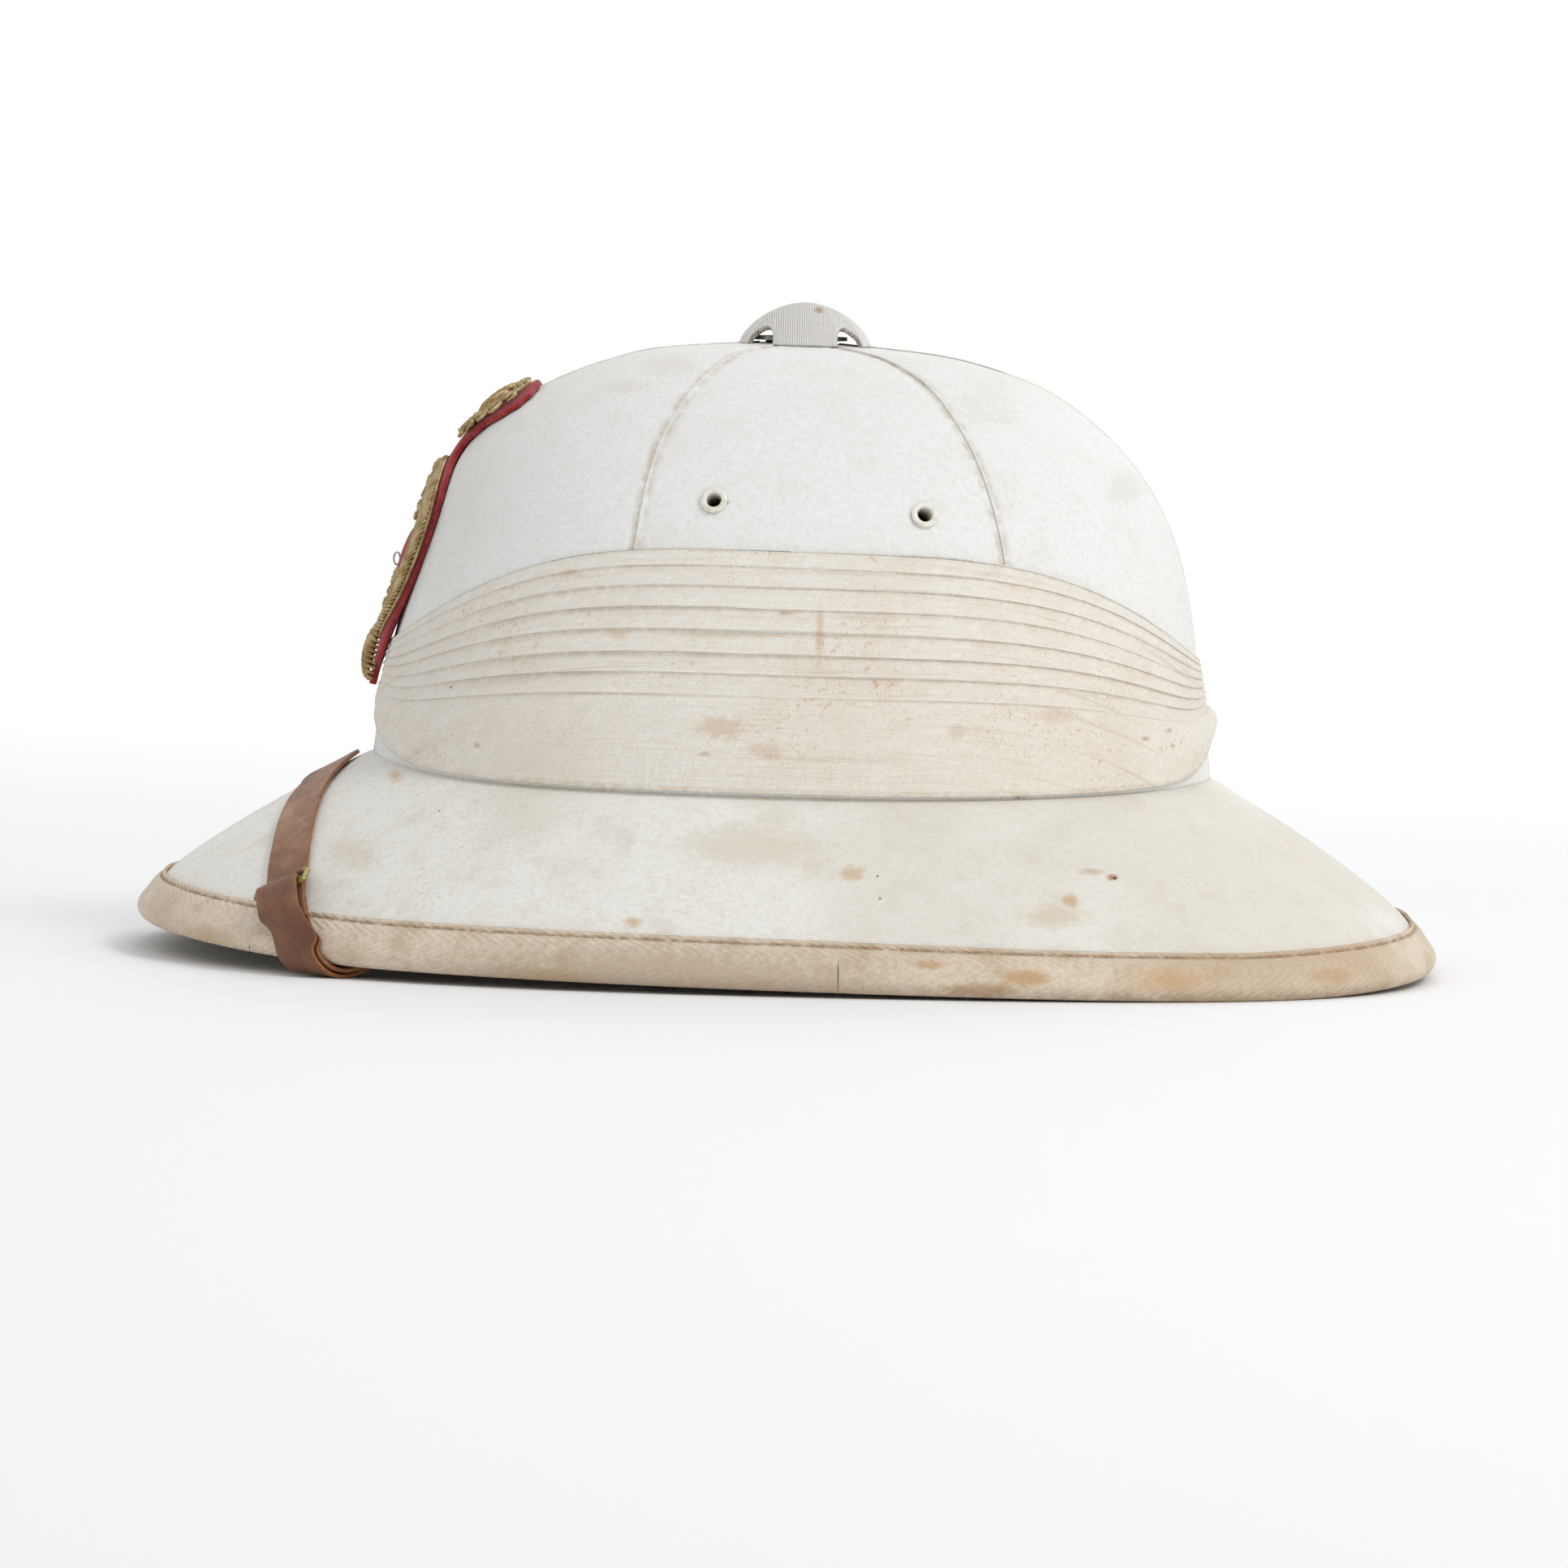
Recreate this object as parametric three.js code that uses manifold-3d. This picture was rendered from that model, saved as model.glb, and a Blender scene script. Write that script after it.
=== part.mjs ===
// Pith sun helmet: a moulded crown under six cloth gores, a flared brim with a taped rim, a pleated band, a chin
// strap worn over the peak, a ventilator in the top and an embroidered badge on the front.
// Millimetres, +Z up. The front is towards -X and the wearer's left towards -Y. The origin is under the middle of
// the hat, on the surface that it rests on.
import * as THREE from "three";
import { mergeVertices } from "three/addons/utils/BufferGeometryUtils.js";
import Module from "manifold-3d";

const wasm = await Module();
wasm.setup();

const clearance = 0.3;

// The crown, measured to the outside of its cloth at the seam where the brim starts.
const crown = {
  front: 110.7,
  back: 111.8,
  side: 92.5,
  top: 161,
  seam: 45.8,
  seamFrontRise: 3.5,
  seamBackRise: 2.7,
  fullness: 2.2,
  cloth: 1,
  shell: 4.5,
};

// The rim, measured to the outside of its tape.
const rim = {
  front: 172.7,
  back: 172.6,
  side: 134,
  frontFullness: 2.3,
  backFullness: 2.8,
  frontLift: 4.6,
  liftFrom: 100,
  sag: 1.8,
  lowest: 120,
  backLift: 2.9,
};

const brimThickness = 4.4;

const tape = {
  thickness: 0.9,
  width: 9,
  footing: 0.35,
};

const band = {
  sideTop: 108.4,
  frontDrop: 29.5,
  backDrop: 28.5,
  frontRise: 8.5,
  backRise: 9.4,
  hem: 0.5,
  thickness: 1.5,
};

const vent = {
  hole: 10.5,
  collarBore: 6.5,
  collarWall: 2.5,
  collarFlange: 2.2,
  collarDepth: 9,
  flangeThickness: 1,
  capRadius: 17.2,
  capHeight: 10.9,
  capWall: 1.6,
  capShift: 1.5,
  tabWidth: 17,
  archHeight: 4.6,
};

// The gores' seams, in degrees from the back. The other two are at the front and the back.
const seams = {
  back: 60,
  front: 113,
};

const eyelet = {
  flangeRadius: 3.55,
  flangeThickness: 0.9,
  bore: 1.9,
  wall: 0.7,
};

const strap = {
  width: 11.5,
  thickness: 1.1,
  gap: 0.6,
  layerGap: 0.45,
  slack: 0.6,
  wallSlack: 1.3,
  foldBack: 9,
  tail: 24,
  end: 7,
};

const buckle = {
  across: 15.6,
  along: 9,
  bar: 1.5,
  thickness: 1.2,
  corner: 1.5,
  foldRadius: 1.85,
  fromRim: 16,
};

const post = {
  stem: 2,
  head: 4.2,
  headThickness: 1.4,
  turn: 69,
  height: 9,
};

const badge = {
  bottom: 66.5,
  height: 93,
  width: 46,
  felt: 1.8,
  relief: 3.4,
  loopRadius: 2.3,
  loopWire: 0.55,
};

const colours = {
  crownCloth: 0xebebe8,
  brimCloth: 0xe8e5de,
  pith: 0xcbb389,
  tape: 0xe1d2be,
  muslin: 0xe4dcd0,
  enamel: 0xe9e6d8,
  leather: 0x96694b,
  brass: 0x96874a,
  steel: 0x8f8f8c,
  felt: 0xbe3232,
  bullion: 0xa08350,
  silver: 0xb9b9b4,
};

const degree = Math.PI / 180;
const rimStations = 40;

// Rows of the crown from its seam to the vent. Level is a share of the crown's height, and front, back and side
// are shares of its reaches there.
const crownRows = [
  { level: 0, front: 1, back: 1, side: 1 },
  { level: 0.14, front: 0.983, back: 0.985, side: 0.984 },
  { level: 0.28, front: 0.954, back: 0.962, side: 0.96 },
  { level: 0.42, front: 0.918, back: 0.94, side: 0.931 },
  { level: 0.55, front: 0.876, back: 0.906, side: 0.893 },
  { level: 0.67, front: 0.831, back: 0.847, side: 0.838 },
  { level: 0.77, front: 0.764, back: 0.769, side: 0.762 },
  { level: 0.85, front: 0.665, back: 0.676, side: 0.668 },
  { level: 0.91, front: 0.553, back: 0.578, side: 0.56 },
  { level: 0.953, front: 0.437, back: 0.453, side: 0.443 },
  { level: 0.98, front: 0.324, back: 0.322, side: 0.331 },
  { level: 1, front: vent.hole / crown.front, back: vent.hole / crown.back, side: vent.hole / crown.side },
];

// Rows of the brim from the crown's foot to the rim. Reach and drop are shares of the way out and of the way down.
const brimRows = [
  { reach: 0, drop: 0 },
  { reach: 0.08, drop: 0.05 },
  { reach: 0.2, drop: 0.15 },
  { reach: 0.35, drop: 0.275 },
  { reach: 0.5, drop: 0.407 },
  { reach: 0.65, drop: 0.55 },
  { reach: 0.79, drop: 0.693 },
  { reach: 0.91, drop: 0.843 },
  { reach: 1, drop: 1 },
];

// Pleats of the band. From and to are shares of its height below its top edge, and swell is the share of its
// thickness by which the lower edge of a pleat stands out.
const pleats = [
  { from: 0, to: 0.068, swell: 0.2 },
  { from: 0.068, to: 0.149, swell: 0.28 },
  { from: 0.149, to: 0.24, swell: 0.34 },
  { from: 0.24, to: 0.331, swell: 0.4 },
  { from: 0.331, to: 0.426, swell: 0.4 },
  { from: 0.426, to: 0.51, swell: 0.36 },
  { from: 0.51, to: 0.598, swell: 0.34 },
];

// The strap's way from the middle of the peak to the rim. Turn is in degrees from the front, and share is the
// share of the brim's width out from the crown.
const strapOverPeak = [
  { turn: 0, share: 0.22 },
  { turn: 9, share: 0.31 },
  { turn: 19, share: 0.42 },
  { turn: 28, share: 0.55 },
  { turn: 35, share: 0.69 },
  { turn: 41, share: 0.85 },
  { turn: 46, share: 1 },
];

// The strap's way on from the rim, below the brim, to the crown's foot.
const strapUnderBrim = [
  { turn: 50, share: 1 },
  { turn: 55, share: 0.84 },
  { turn: 60, share: 0.6 },
  { turn: 65, share: 0.3 },
  { turn: 68, share: 0.13 },
];

// Rows of the badge's felt. Up is a share of the badge's height, wide is a share of its width, and lift is the
// share of the band's thickness by which it rides out over the band.
const badgeRows = [
  { up: 0, wide: 0.12, lift: 1.25 },
  { up: 0.04, wide: 0.2, lift: 1.2 },
  { up: 0.09, wide: 0.44, lift: 1.15 },
  { up: 0.17, wide: 0.68, lift: 1.05 },
  { up: 0.27, wide: 0.88, lift: 0.35 },
  { up: 0.38, wide: 1, lift: 0.1 },
  { up: 0.5, wide: 0.98, lift: 0.1 },
  { up: 0.61, wide: 0.8, lift: 0.1 },
  { up: 0.68, wide: 0.5, lift: 0.1 },
  { up: 0.73, wide: 0.44, lift: 0.1 },
  { up: 0.79, wide: 0.62, lift: 0.1 },
  { up: 0.87, wide: 0.92, lift: 0.1 },
  { up: 0.94, wide: 0.86, lift: 0.1 },
  { up: 1, wide: 0.5, lift: 0.1 },
];

// One branch of the wreath, from the knot up. Up and out are shares of the badge's height and half width to the
// branch's middle, and wide is a share of its width.
const branchRows = [
  { up: 0.15, out: 0.22, wide: 0.1 },
  { up: 0.2, out: 0.38, wide: 0.17 },
  { up: 0.28, out: 0.6, wide: 0.21 },
  { up: 0.38, out: 0.74, wide: 0.23 },
  { up: 0.48, out: 0.72, wide: 0.22 },
  { up: 0.57, out: 0.54, wide: 0.19 },
  { up: 0.63, out: 0.3, wide: 0.13 },
  { up: 0.655, out: 0.12, wide: 0.08 },
];

// The raised bosses of the badge: middle and half height as shares of its height, and width and relief as shares
// of its width and relief.
const bosses = {
  knot: { middle: 0.095, tall: 0.075, wide: 0.3, relief: 1.35 },
  centre: { middle: 0.38, tall: 0.11, wide: 0.36, relief: 0.9 },
  coronet: { middle: 0.855, tall: 0.105, wide: 0.74, relief: 0.75 },
};

const skinDepth = crown.cloth + clearance + crown.shell;
const rimRadius = brimThickness / 2 + clearance + tape.thickness;
const strapPitch = strap.thickness + strap.layerGap;

// The number in a named column of a table, at a share of the way from its first row to its last.
function column(rows, name, share) {
  const at = THREE.MathUtils.clamp(share, 0, 1) * (rows.length - 1);
  const row = Math.min(Math.floor(at), rows.length - 2);
  const u = at - row;
  const value = (index) => rows[THREE.MathUtils.clamp(index, 0, rows.length - 1)][name];
  const slopeIn = (value(row + 1) - value(row - 1)) / 2;
  const slopeOut = (value(row + 2) - value(row)) / 2;
  const cube = 2 * (value(row) - value(row + 1)) + slopeIn + slopeOut;
  const square = 3 * (value(row + 1) - value(row)) - 2 * slopeIn - slopeOut;
  return value(row) + u * (slopeIn + u * (square + u * cube));
}

// The share of the way down a table at which a rising column reaches a wanted number.
function shareWhere(rows, name, wanted) {
  let low = 0;
  let high = 1;
  for (let step = 0; step < 30; step++) {
    const middle = (low + high) / 2;
    if (column(rows, name, middle) < wanted) low = middle;
    else high = middle;
  }
  return (low + high) / 2;
}

// The height of the rim's underside. It rises to the tip of the peak, sags towards the back and rises again there.
function rimHeight(x) {
  const { clamp } = THREE.MathUtils;
  const peak = clamp((-x - rim.liftFrom) / (rim.front - rim.liftFrom), 0, 1);
  const sag = clamp((x + rim.liftFrom) / (rim.lowest + rim.liftFrom), 0, 1);
  const tail = clamp((x - rim.lowest) / (rim.back - rim.lowest), 0, 1);
  return rim.frontLift * peak ** 1.6 - rim.sag * sag + rim.backLift * tail ** 1.6;
}

// The hat rests on the lowest part of its rim, behind the ears, and on the strap folded under its peak.
const strapCrossing = -0.64 * rim.front;
const strapStack = strap.gap + strap.thickness + strapPitch + clearance;
const lean = (strapStack - rimHeight(strapCrossing) - rim.sag) / (rim.lowest - strapCrossing);

function stand(x, y, z) {
  return new THREE.Vector3(x, y, z + rim.sag + lean * (rim.lowest - x));
}

// A point of an oval plan whose front and back halves have their own reach and fullness.
function planPoint(angle, front, back, side, frontFullness, backFullness) {
  const c = Math.cos(angle);
  const s = Math.sin(angle);
  const power = 2 / (c < 0 ? frontFullness : backFullness);
  const x = Math.sign(c) * Math.abs(c) ** power * (c < 0 ? front : back);
  const y = Math.sign(s) * Math.abs(s) ** power * side;
  return new THREE.Vector2(x, y);
}

function seamHeight(angle) {
  const c = Math.cos(angle);
  return crown.seam + (c < 0 ? crown.seamFrontRise * c ** 6 : crown.seamBackRise * c ** 2);
}

// The cloth surface of the crown, at a share of the way up its rows.
function crownSurface(angle, share) {
  const plan = planPoint(
    angle,
    crown.front * column(crownRows, "front", share),
    crown.back * column(crownRows, "back", share),
    crown.side * column(crownRows, "side", share),
    crown.fullness,
    crown.fullness,
  );
  const foot = seamHeight(angle);
  return stand(plan.x, plan.y, foot + (crown.top - foot) * column(crownRows, "level", share));
}

function brimSurface(angle, share) {
  const inset = skinDepth / 2;
  const foot = planPoint(
    angle,
    crown.front - inset,
    crown.back - inset,
    crown.side - inset,
    crown.fullness,
    crown.fullness,
  );
  const edge = planPoint(
    angle,
    rim.front - rimRadius,
    rim.back - rimRadius,
    rim.side - rimRadius,
    rim.frontFullness,
    rim.backFullness,
  );
  const plan = foot.lerp(edge, column(brimRows, "reach", share));
  const high = seamHeight(angle) - brimThickness / 4;
  const low = rimRadius - tape.footing + rimHeight(edge.x);
  return stand(plan.x, plan.y, THREE.MathUtils.lerp(high, low, column(brimRows, "drop", share)));
}

// The outward normal of a surface given by angle and share, from points a little to each side.
function normalOf(surface, angle, share) {
  const step = 0.01;
  const low = Math.max(share - step, 0);
  const high = Math.min(share + step, 1);
  const around = surface(angle + step, share).sub(surface(angle - step, share));
  const up = surface(angle, high).sub(surface(angle, low));
  return around.cross(up).normalize();
}

function crownPoint(angle, share, out) {
  return crownSurface(angle, share).addScaledVector(normalOf(crownSurface, angle, share), out);
}

// The brim's rows run outwards, so its upward normal is the other way round.
function brimNormal(angle, share) {
  return normalOf(brimSurface, angle, share).negate();
}

function brimPoint(angle, share, up) {
  return brimSurface(angle, share).addScaledVector(brimNormal(angle, share), up);
}

// A point on an arc round the brim's edge. Turn is 90 degrees on top, 0 at the outside and -90 below.
function edgePoint(angle, turn, radius) {
  const normal = brimNormal(angle, 1);
  const outward = brimSurface(angle, 1).sub(brimSurface(angle, 0.98)).normalize();
  return brimSurface(angle, 1)
    .addScaledVector(outward, Math.cos(turn * degree) * radius)
    .addScaledVector(normal, Math.sin(turn * degree) * radius);
}

// The share of the brim's rows that lies a given distance in from its edge.
function shareBack(angle, distance) {
  const edge = brimSurface(angle, 1);
  let share = 1;
  while (share > 0 && brimSurface(angle, share).distanceTo(edge) < distance) share -= 0.005;
  return share;
}

// A closed body through a row of loops. A ring joins its last loop to its first, and any other body has each end
// loop closed by a ladder of faces from its first half to its second.
function skin(loops, ring = false) {
  const count = loops[0].length;
  const index = [];
  const quad = (a, b, c, d) => index.push(a, b, c, a, c, d);
  const steps = ring ? loops.length : loops.length - 1;
  for (let row = 0; row < steps; row++) {
    const here = row * count;
    const next = ((row + 1) % loops.length) * count;
    for (let k = 0; k < count; k++) {
      const after = (k + 1) % count;
      quad(here + k, here + after, next + after, next + k);
    }
  }
  if (!ring) {
    const last = (loops.length - 1) * count;
    for (let k = 0; k < count / 2 - 1; k++) {
      quad(k + 1, k, count - 1 - k, count - 2 - k);
      quad(last + k, last + k + 1, last + count - 2 - k, last + count - 1 - k);
    }
  }
  const geometry = new THREE.BufferGeometry();
  geometry.setAttribute("position", new THREE.Float32BufferAttribute(loops.flat().flatMap((p) => [p.x, p.y, p.z]), 3));
  geometry.setIndex(index);
  return facingOut(geometry);
}

// Turns a closed body's faces round if they point inwards.
function facingOut(geometry) {
  const index = geometry.index.array;
  const position = geometry.attributes.position;
  const [a, b, c] = [new THREE.Vector3(), new THREE.Vector3(), new THREE.Vector3()];
  let volume = 0;
  for (let face = 0; face < index.length; face += 3) {
    a.fromBufferAttribute(position, index[face]);
    b.fromBufferAttribute(position, index[face + 1]);
    c.fromBufferAttribute(position, index[face + 2]);
    volume += a.dot(b.cross(c));
  }
  if (volume < 0) geometry.index.array.reverse();
  return geometry;
}

function solidOf(geometry) {
  const bare = geometry.clone().deleteAttribute("normal").deleteAttribute("uv");
  const merged = mergeVertices(bare, 1e-4);
  return new wasm.Manifold(
    new wasm.Mesh({
      numProp: 3,
      vertProperties: new Float32Array(merged.attributes.position.array),
      triVerts: new Uint32Array(merged.index.array),
    }),
  );
}

function geometryOf(solid) {
  const made = solid.getMesh();
  const geometry = new THREE.BufferGeometry();
  geometry.setAttribute("position", new THREE.BufferAttribute(made.vertProperties, 3));
  geometry.setIndex(new THREE.BufferAttribute(made.triVerts, 1));
  return geometry;
}

function cut(geometry, tools) {
  return geometryOf(tools.reduce((left, tool) => left.subtract(solidOf(tool)), solidOf(geometry)));
}

// A copy of a shape with its own +Z turned to a direction and its origin moved to a place.
function placed(geometry, place, direction) {
  const turn = new THREE.Quaternion().setFromUnitVectors(new THREE.Vector3(0, 0, 1), direction);
  return geometry.clone().applyMatrix4(new THREE.Matrix4().compose(place, turn, new THREE.Vector3(1, 1, 1)));
}

// A turned body about its own Z axis, from a closed profile of radius and height.
function turned(profile, sides) {
  const points = profile.map(([radius, height]) => new THREE.Vector2(radius, height));
  return new THREE.LatheGeometry([...points, points[0]], sides).rotateX(Math.PI / 2);
}

const helmet = new THREE.Group();

function add(name, geometry, colour, roughness, metalness = 0) {
  const material = new THREE.MeshStandardMaterial({ color: colour, roughness, metalness });
  const mesh = new THREE.Mesh(geometry, material);
  mesh.name = name;
  helmet.add(mesh);
  return mesh;
}

// Where the four eyelets sit: turn is in degrees from the back, on either side.
const eyeletPlaces = [
  { name: "front", turn: 101.3, level: 0.652 },
  { name: "back", turn: 72.1, level: 0.632 },
];

function eyeletSeat(side, place) {
  const angle = side * place.turn * degree;
  const share = shareWhere(crownRows, "level", place.level);
  return { point: crownPoint(angle, share, 0), normal: normalOf(crownSurface, angle, share) };
}

// The six gores, from one seam to the next, and the steps that each is divided into.
const gores = [
  { name: "panel_back_right", from: 0, to: seams.back, steps: 6 },
  { name: "panel_side_right", from: seams.back, to: seams.front, steps: 5 },
  { name: "panel_front_right", from: seams.front, to: 180, steps: 7 },
  { name: "panel_front_left", from: 180, to: 360 - seams.front, steps: 7 },
  { name: "panel_side_left", from: 360 - seams.front, to: 360 - seams.back, steps: 5 },
  { name: "panel_back_left", from: 360 - seams.back, to: 360, steps: 6 },
];

function goreAngles(gore) {
  return Array.from({ length: gore.steps + 1 }, (unused, step) => {
    return THREE.MathUtils.lerp(gore.from, gore.to, step / gore.steps) * degree;
  });
}

// Everything that lies round the crown turns its corners at the same angles.
const crownAngles = gores.flatMap((gore) => goreAngles(gore).slice(1));

const sides = [
  { name: "left", sign: -1 },
  { name: "right", sign: 1 },
];

const eyeletSeats = sides.flatMap((side) =>
  eyeletPlaces.map((place) => ({ name: `eyelet_${side.name}_${place.name}`, ...eyeletSeat(side.sign, place) })),
);

function eyeletHole(seat) {
  const depth = 2 * skinDepth;
  const drill = new THREE.CylinderGeometry(
    eyelet.bore + eyelet.wall + clearance,
    eyelet.bore + eyelet.wall + clearance,
    2 * depth,
    8,
  ).rotateX(Math.PI / 2);
  return placed(drill, seat.point, seat.normal);
}

function crownShell() {
  const loops = [];
  for (const angle of crownAngles) {
    const shares = crownRows.map((row, index) => index / (crownRows.length - 1));
    const outside = shares.map((share) => crownPoint(angle, share, -crown.cloth - clearance));
    const inside = shares.filter((share, index) => index % 2 === 0 || index > 9);
    loops.push([...outside, ...inside.map((share) => crownPoint(angle, share, -skinDepth)).reverse()]);
  }
  return cut(skin(loops, true), eyeletSeats.map(eyeletHole));
}

// A cloth gore between two seams, with half a clearance left along each.
function crownPanel(gore) {
  const angles = goreAngles(gore);
  const shares = crownRows.map((row, index) => index / (crownRows.length - 1));
  const loops = angles.map((angle, step) => {
    const side = step === 0 ? 1 : step === gore.steps ? -1 : 0;
    const line = (out) =>
      shares.map((share) => {
        const centre = crownSurface(angle, share);
        const inset = clearance / 2 / Math.hypot(centre.x, centre.y);
        return crownPoint(angle + side * inset, share, out);
      });
    return [...line(0), ...line(-crown.cloth).reverse()];
  });
  return skin(loops);
}

function brimBody() {
  const loops = [];
  for (let station = 0; station < rimStations; station++) {
    const angle = (station / rimStations) * 2 * Math.PI;
    const shares = brimRows.map((row, index) => index / (brimRows.length - 1)).slice(1);
    const drop = new THREE.Vector3(0, 0, -clearance);
    const top = shares.map((share) => brimPoint(angle, share, brimThickness / 2));
    const below = shares.filter((share, index) => index % 2 === 1 || index > 5);
    const round = [45, 0, -45].map((turn) => edgePoint(angle, turn, brimThickness / 2));
    loops.push([
      crownPoint(angle, 0, 0).add(drop),
      ...top,
      ...round,
      ...below.map((share) => brimPoint(angle, share, -brimThickness / 2)).reverse(),
      crownPoint(angle, 0, -skinDepth).add(drop),
    ]);
  }
  return skin(loops, true);
}

// The tape folded over the rim. It is flattened where it rests on the surface below.
function rimTape() {
  const loops = [];
  const legs = [tape.width, 0];
  const turns = [45, 0, -45];
  const inner = rimRadius - tape.thickness;
  for (let station = 0; station < rimStations; station++) {
    const angle = (station / rimStations) * 2 * Math.PI;
    const shares = legs.map((distance) => shareBack(angle, distance));
    const over = (radius) => [
      ...shares.map((share) => brimPoint(angle, share, radius)),
      ...turns.map((turn) => edgePoint(angle, turn, radius)),
      ...shares.map((share) => brimPoint(angle, share, -radius)).reverse(),
    ];
    loops.push([...over(rimRadius), ...over(inner).reverse()]);
  }
  const floor = new THREE.BoxGeometry(3 * rim.front, 3 * rim.side, rimRadius);
  floor.translate(0, 0, -rimRadius / 2);
  return cut(skin(loops, true), [floor]);
}

// The band's edges. It is deep at the sides and narrow at the front and the back.
function bandTop(angle) {
  const c = Math.cos(angle);
  return band.sideTop - (c < 0 ? band.frontDrop : band.backDrop) * Math.abs(c) ** 3.6;
}

function bandFoot(angle) {
  const c = Math.cos(angle);
  const rise = (c < 0 ? band.frontRise : band.backRise) * Math.abs(c) ** 24;
  return seamHeight(angle) + band.hem + rise + 1.2 * c ** 4;
}

function bandPoint(angle, down, out) {
  const height = THREE.MathUtils.lerp(bandTop(angle), bandFoot(angle), down);
  const foot = seamHeight(angle);
  const share = shareWhere(crownRows, "level", (height - foot) / (crown.top - foot));
  return crownPoint(angle, share, out);
}

// How far the plain lower part of the band swells out, most of all at the back.
function bandSwell(angle, down) {
  const c = Math.cos(angle);
  const low = pleats[pleats.length - 1].to;
  const share = (down - low) / (1 - low);
  const belly = Math.sin(Math.PI * THREE.MathUtils.clamp(share, 0, 1) ** 0.8);
  return band.thickness * belly * (0.25 + (c > 0 ? 1.1 * c ** 6 : 0));
}

function puggaree() {
  const loops = [];
  const plain = [0.72, 0.86, 1];
  const backing = [1, 0.65, 0.3, 0];
  for (const angle of crownAngles) {
    const face = band.thickness + clearance;
    const taper = 1 - 0.3 * Math.cos(angle) ** 4;
    const outside = pleats.flatMap((pleat) => [
      bandPoint(angle, pleat.from + 0.01, clearance + band.thickness * 0.75 * taper),
      bandPoint(angle, pleat.to, clearance + band.thickness * (0.75 + pleat.swell) * taper),
    ]);
    const lower = plain.map((down) => bandPoint(angle, down, face + bandSwell(angle, down)));
    const inside = backing.map((down) => bandPoint(angle, down, clearance));
    loops.push([...outside, ...lower, ...inside]);
  }
  return skin(loops, true);
}

function ventCollar() {
  const tube = vent.collarBore + vent.collarWall;
  const flange = vent.hole + vent.collarFlange;
  const low = clearance + vent.flangeThickness / 2;
  const profile = [
    [vent.collarBore, -vent.collarDepth],
    [tube, -vent.collarDepth],
    [tube, low],
    [flange, low],
    [flange, low + vent.flangeThickness],
    [vent.collarBore, low + vent.flangeThickness],
  ];
  const seat = stand(0, 0, crown.top);
  return turned(profile, 16).translate(seat.x, seat.y, seat.z);
}

// A quarter of an ellipse that bulges a little, from its foot to the axis, as radii and heights.
function domeLine(radius, height) {
  const steps = 4;
  return Array.from({ length: steps + 1 }, (unused, step) => {
    const turn = (step / steps) * 90 * degree;
    return [step === steps ? 0 : radius * Math.cos(turn) ** 0.85, height * Math.sin(turn)];
  });
}

// A domed cap that stands on four tabs, with a low arch between each two.
function ventCap() {
  const outer = domeLine(vent.capRadius, vent.capHeight);
  const inner = domeLine(vent.capRadius - vent.capWall, vent.capHeight - vent.capWall);
  const halfTab = Math.asin(vent.tabWidth / 2 / vent.capRadius);
  const halfArch = vent.capRadius * Math.sin(Math.PI / 4 - halfTab);
  const tunnels = [45, 135, 225, 315].map((turn) => {
    const shape = new THREE.Shape();
    shape.absellipse(0, 0, halfArch, vent.archHeight, 0, 2 * Math.PI, false, 0);
    const tunnel = new THREE.ExtrudeGeometry(shape, {
      depth: 1.5 * vent.capRadius,
      bevelEnabled: false,
      curveSegments: 4,
    });
    return tunnel.rotateX(Math.PI / 2).rotateZ((turn + 90) * degree);
  });
  const share = shareWhere(crownRows, "level", crownRows[crownRows.length - 2].level);
  const edge = Math.max(crownSurface(0, share).z, crownSurface(Math.PI, share).z, crownSurface(Math.PI / 2, share).z);
  const top = stand(vent.capShift, 0, crown.top);
  const seat = THREE.MathUtils.lerp(edge, top.z, 0.84) + clearance;
  return cut(turned([...outer, ...inner.reverse()], 20), tunnels).translate(top.x, top.y, seat);
}

function eyeletRing(seat) {
  const barrel = eyelet.bore + eyelet.wall;
  const profile = [
    [eyelet.bore, -crown.cloth - crown.shell],
    [barrel, -crown.cloth - crown.shell],
    [barrel, clearance],
    [eyelet.flangeRadius, clearance],
    [eyelet.flangeRadius, clearance + eyelet.flangeThickness / 2],
    [barrel + eyelet.wall / 2, clearance + eyelet.flangeThickness],
    [eyelet.bore, clearance + eyelet.flangeThickness / 2],
  ];
  return placed(turned(profile, 10), seat.point, seat.normal);
}

// How far the brim's outside lies from its middle surface: more where the tape covers it.
function skinHeight(angle, share) {
  const width = brimSurface(angle, 0).distanceTo(brimSurface(angle, 1));
  const back = (1 - share) * width;
  const bare = THREE.MathUtils.smoothstep(back, tape.width + 2, tape.width + 2 + strap.width / 2);
  return THREE.MathUtils.lerp(rimRadius, brimThickness / 2, bare);
}

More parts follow.
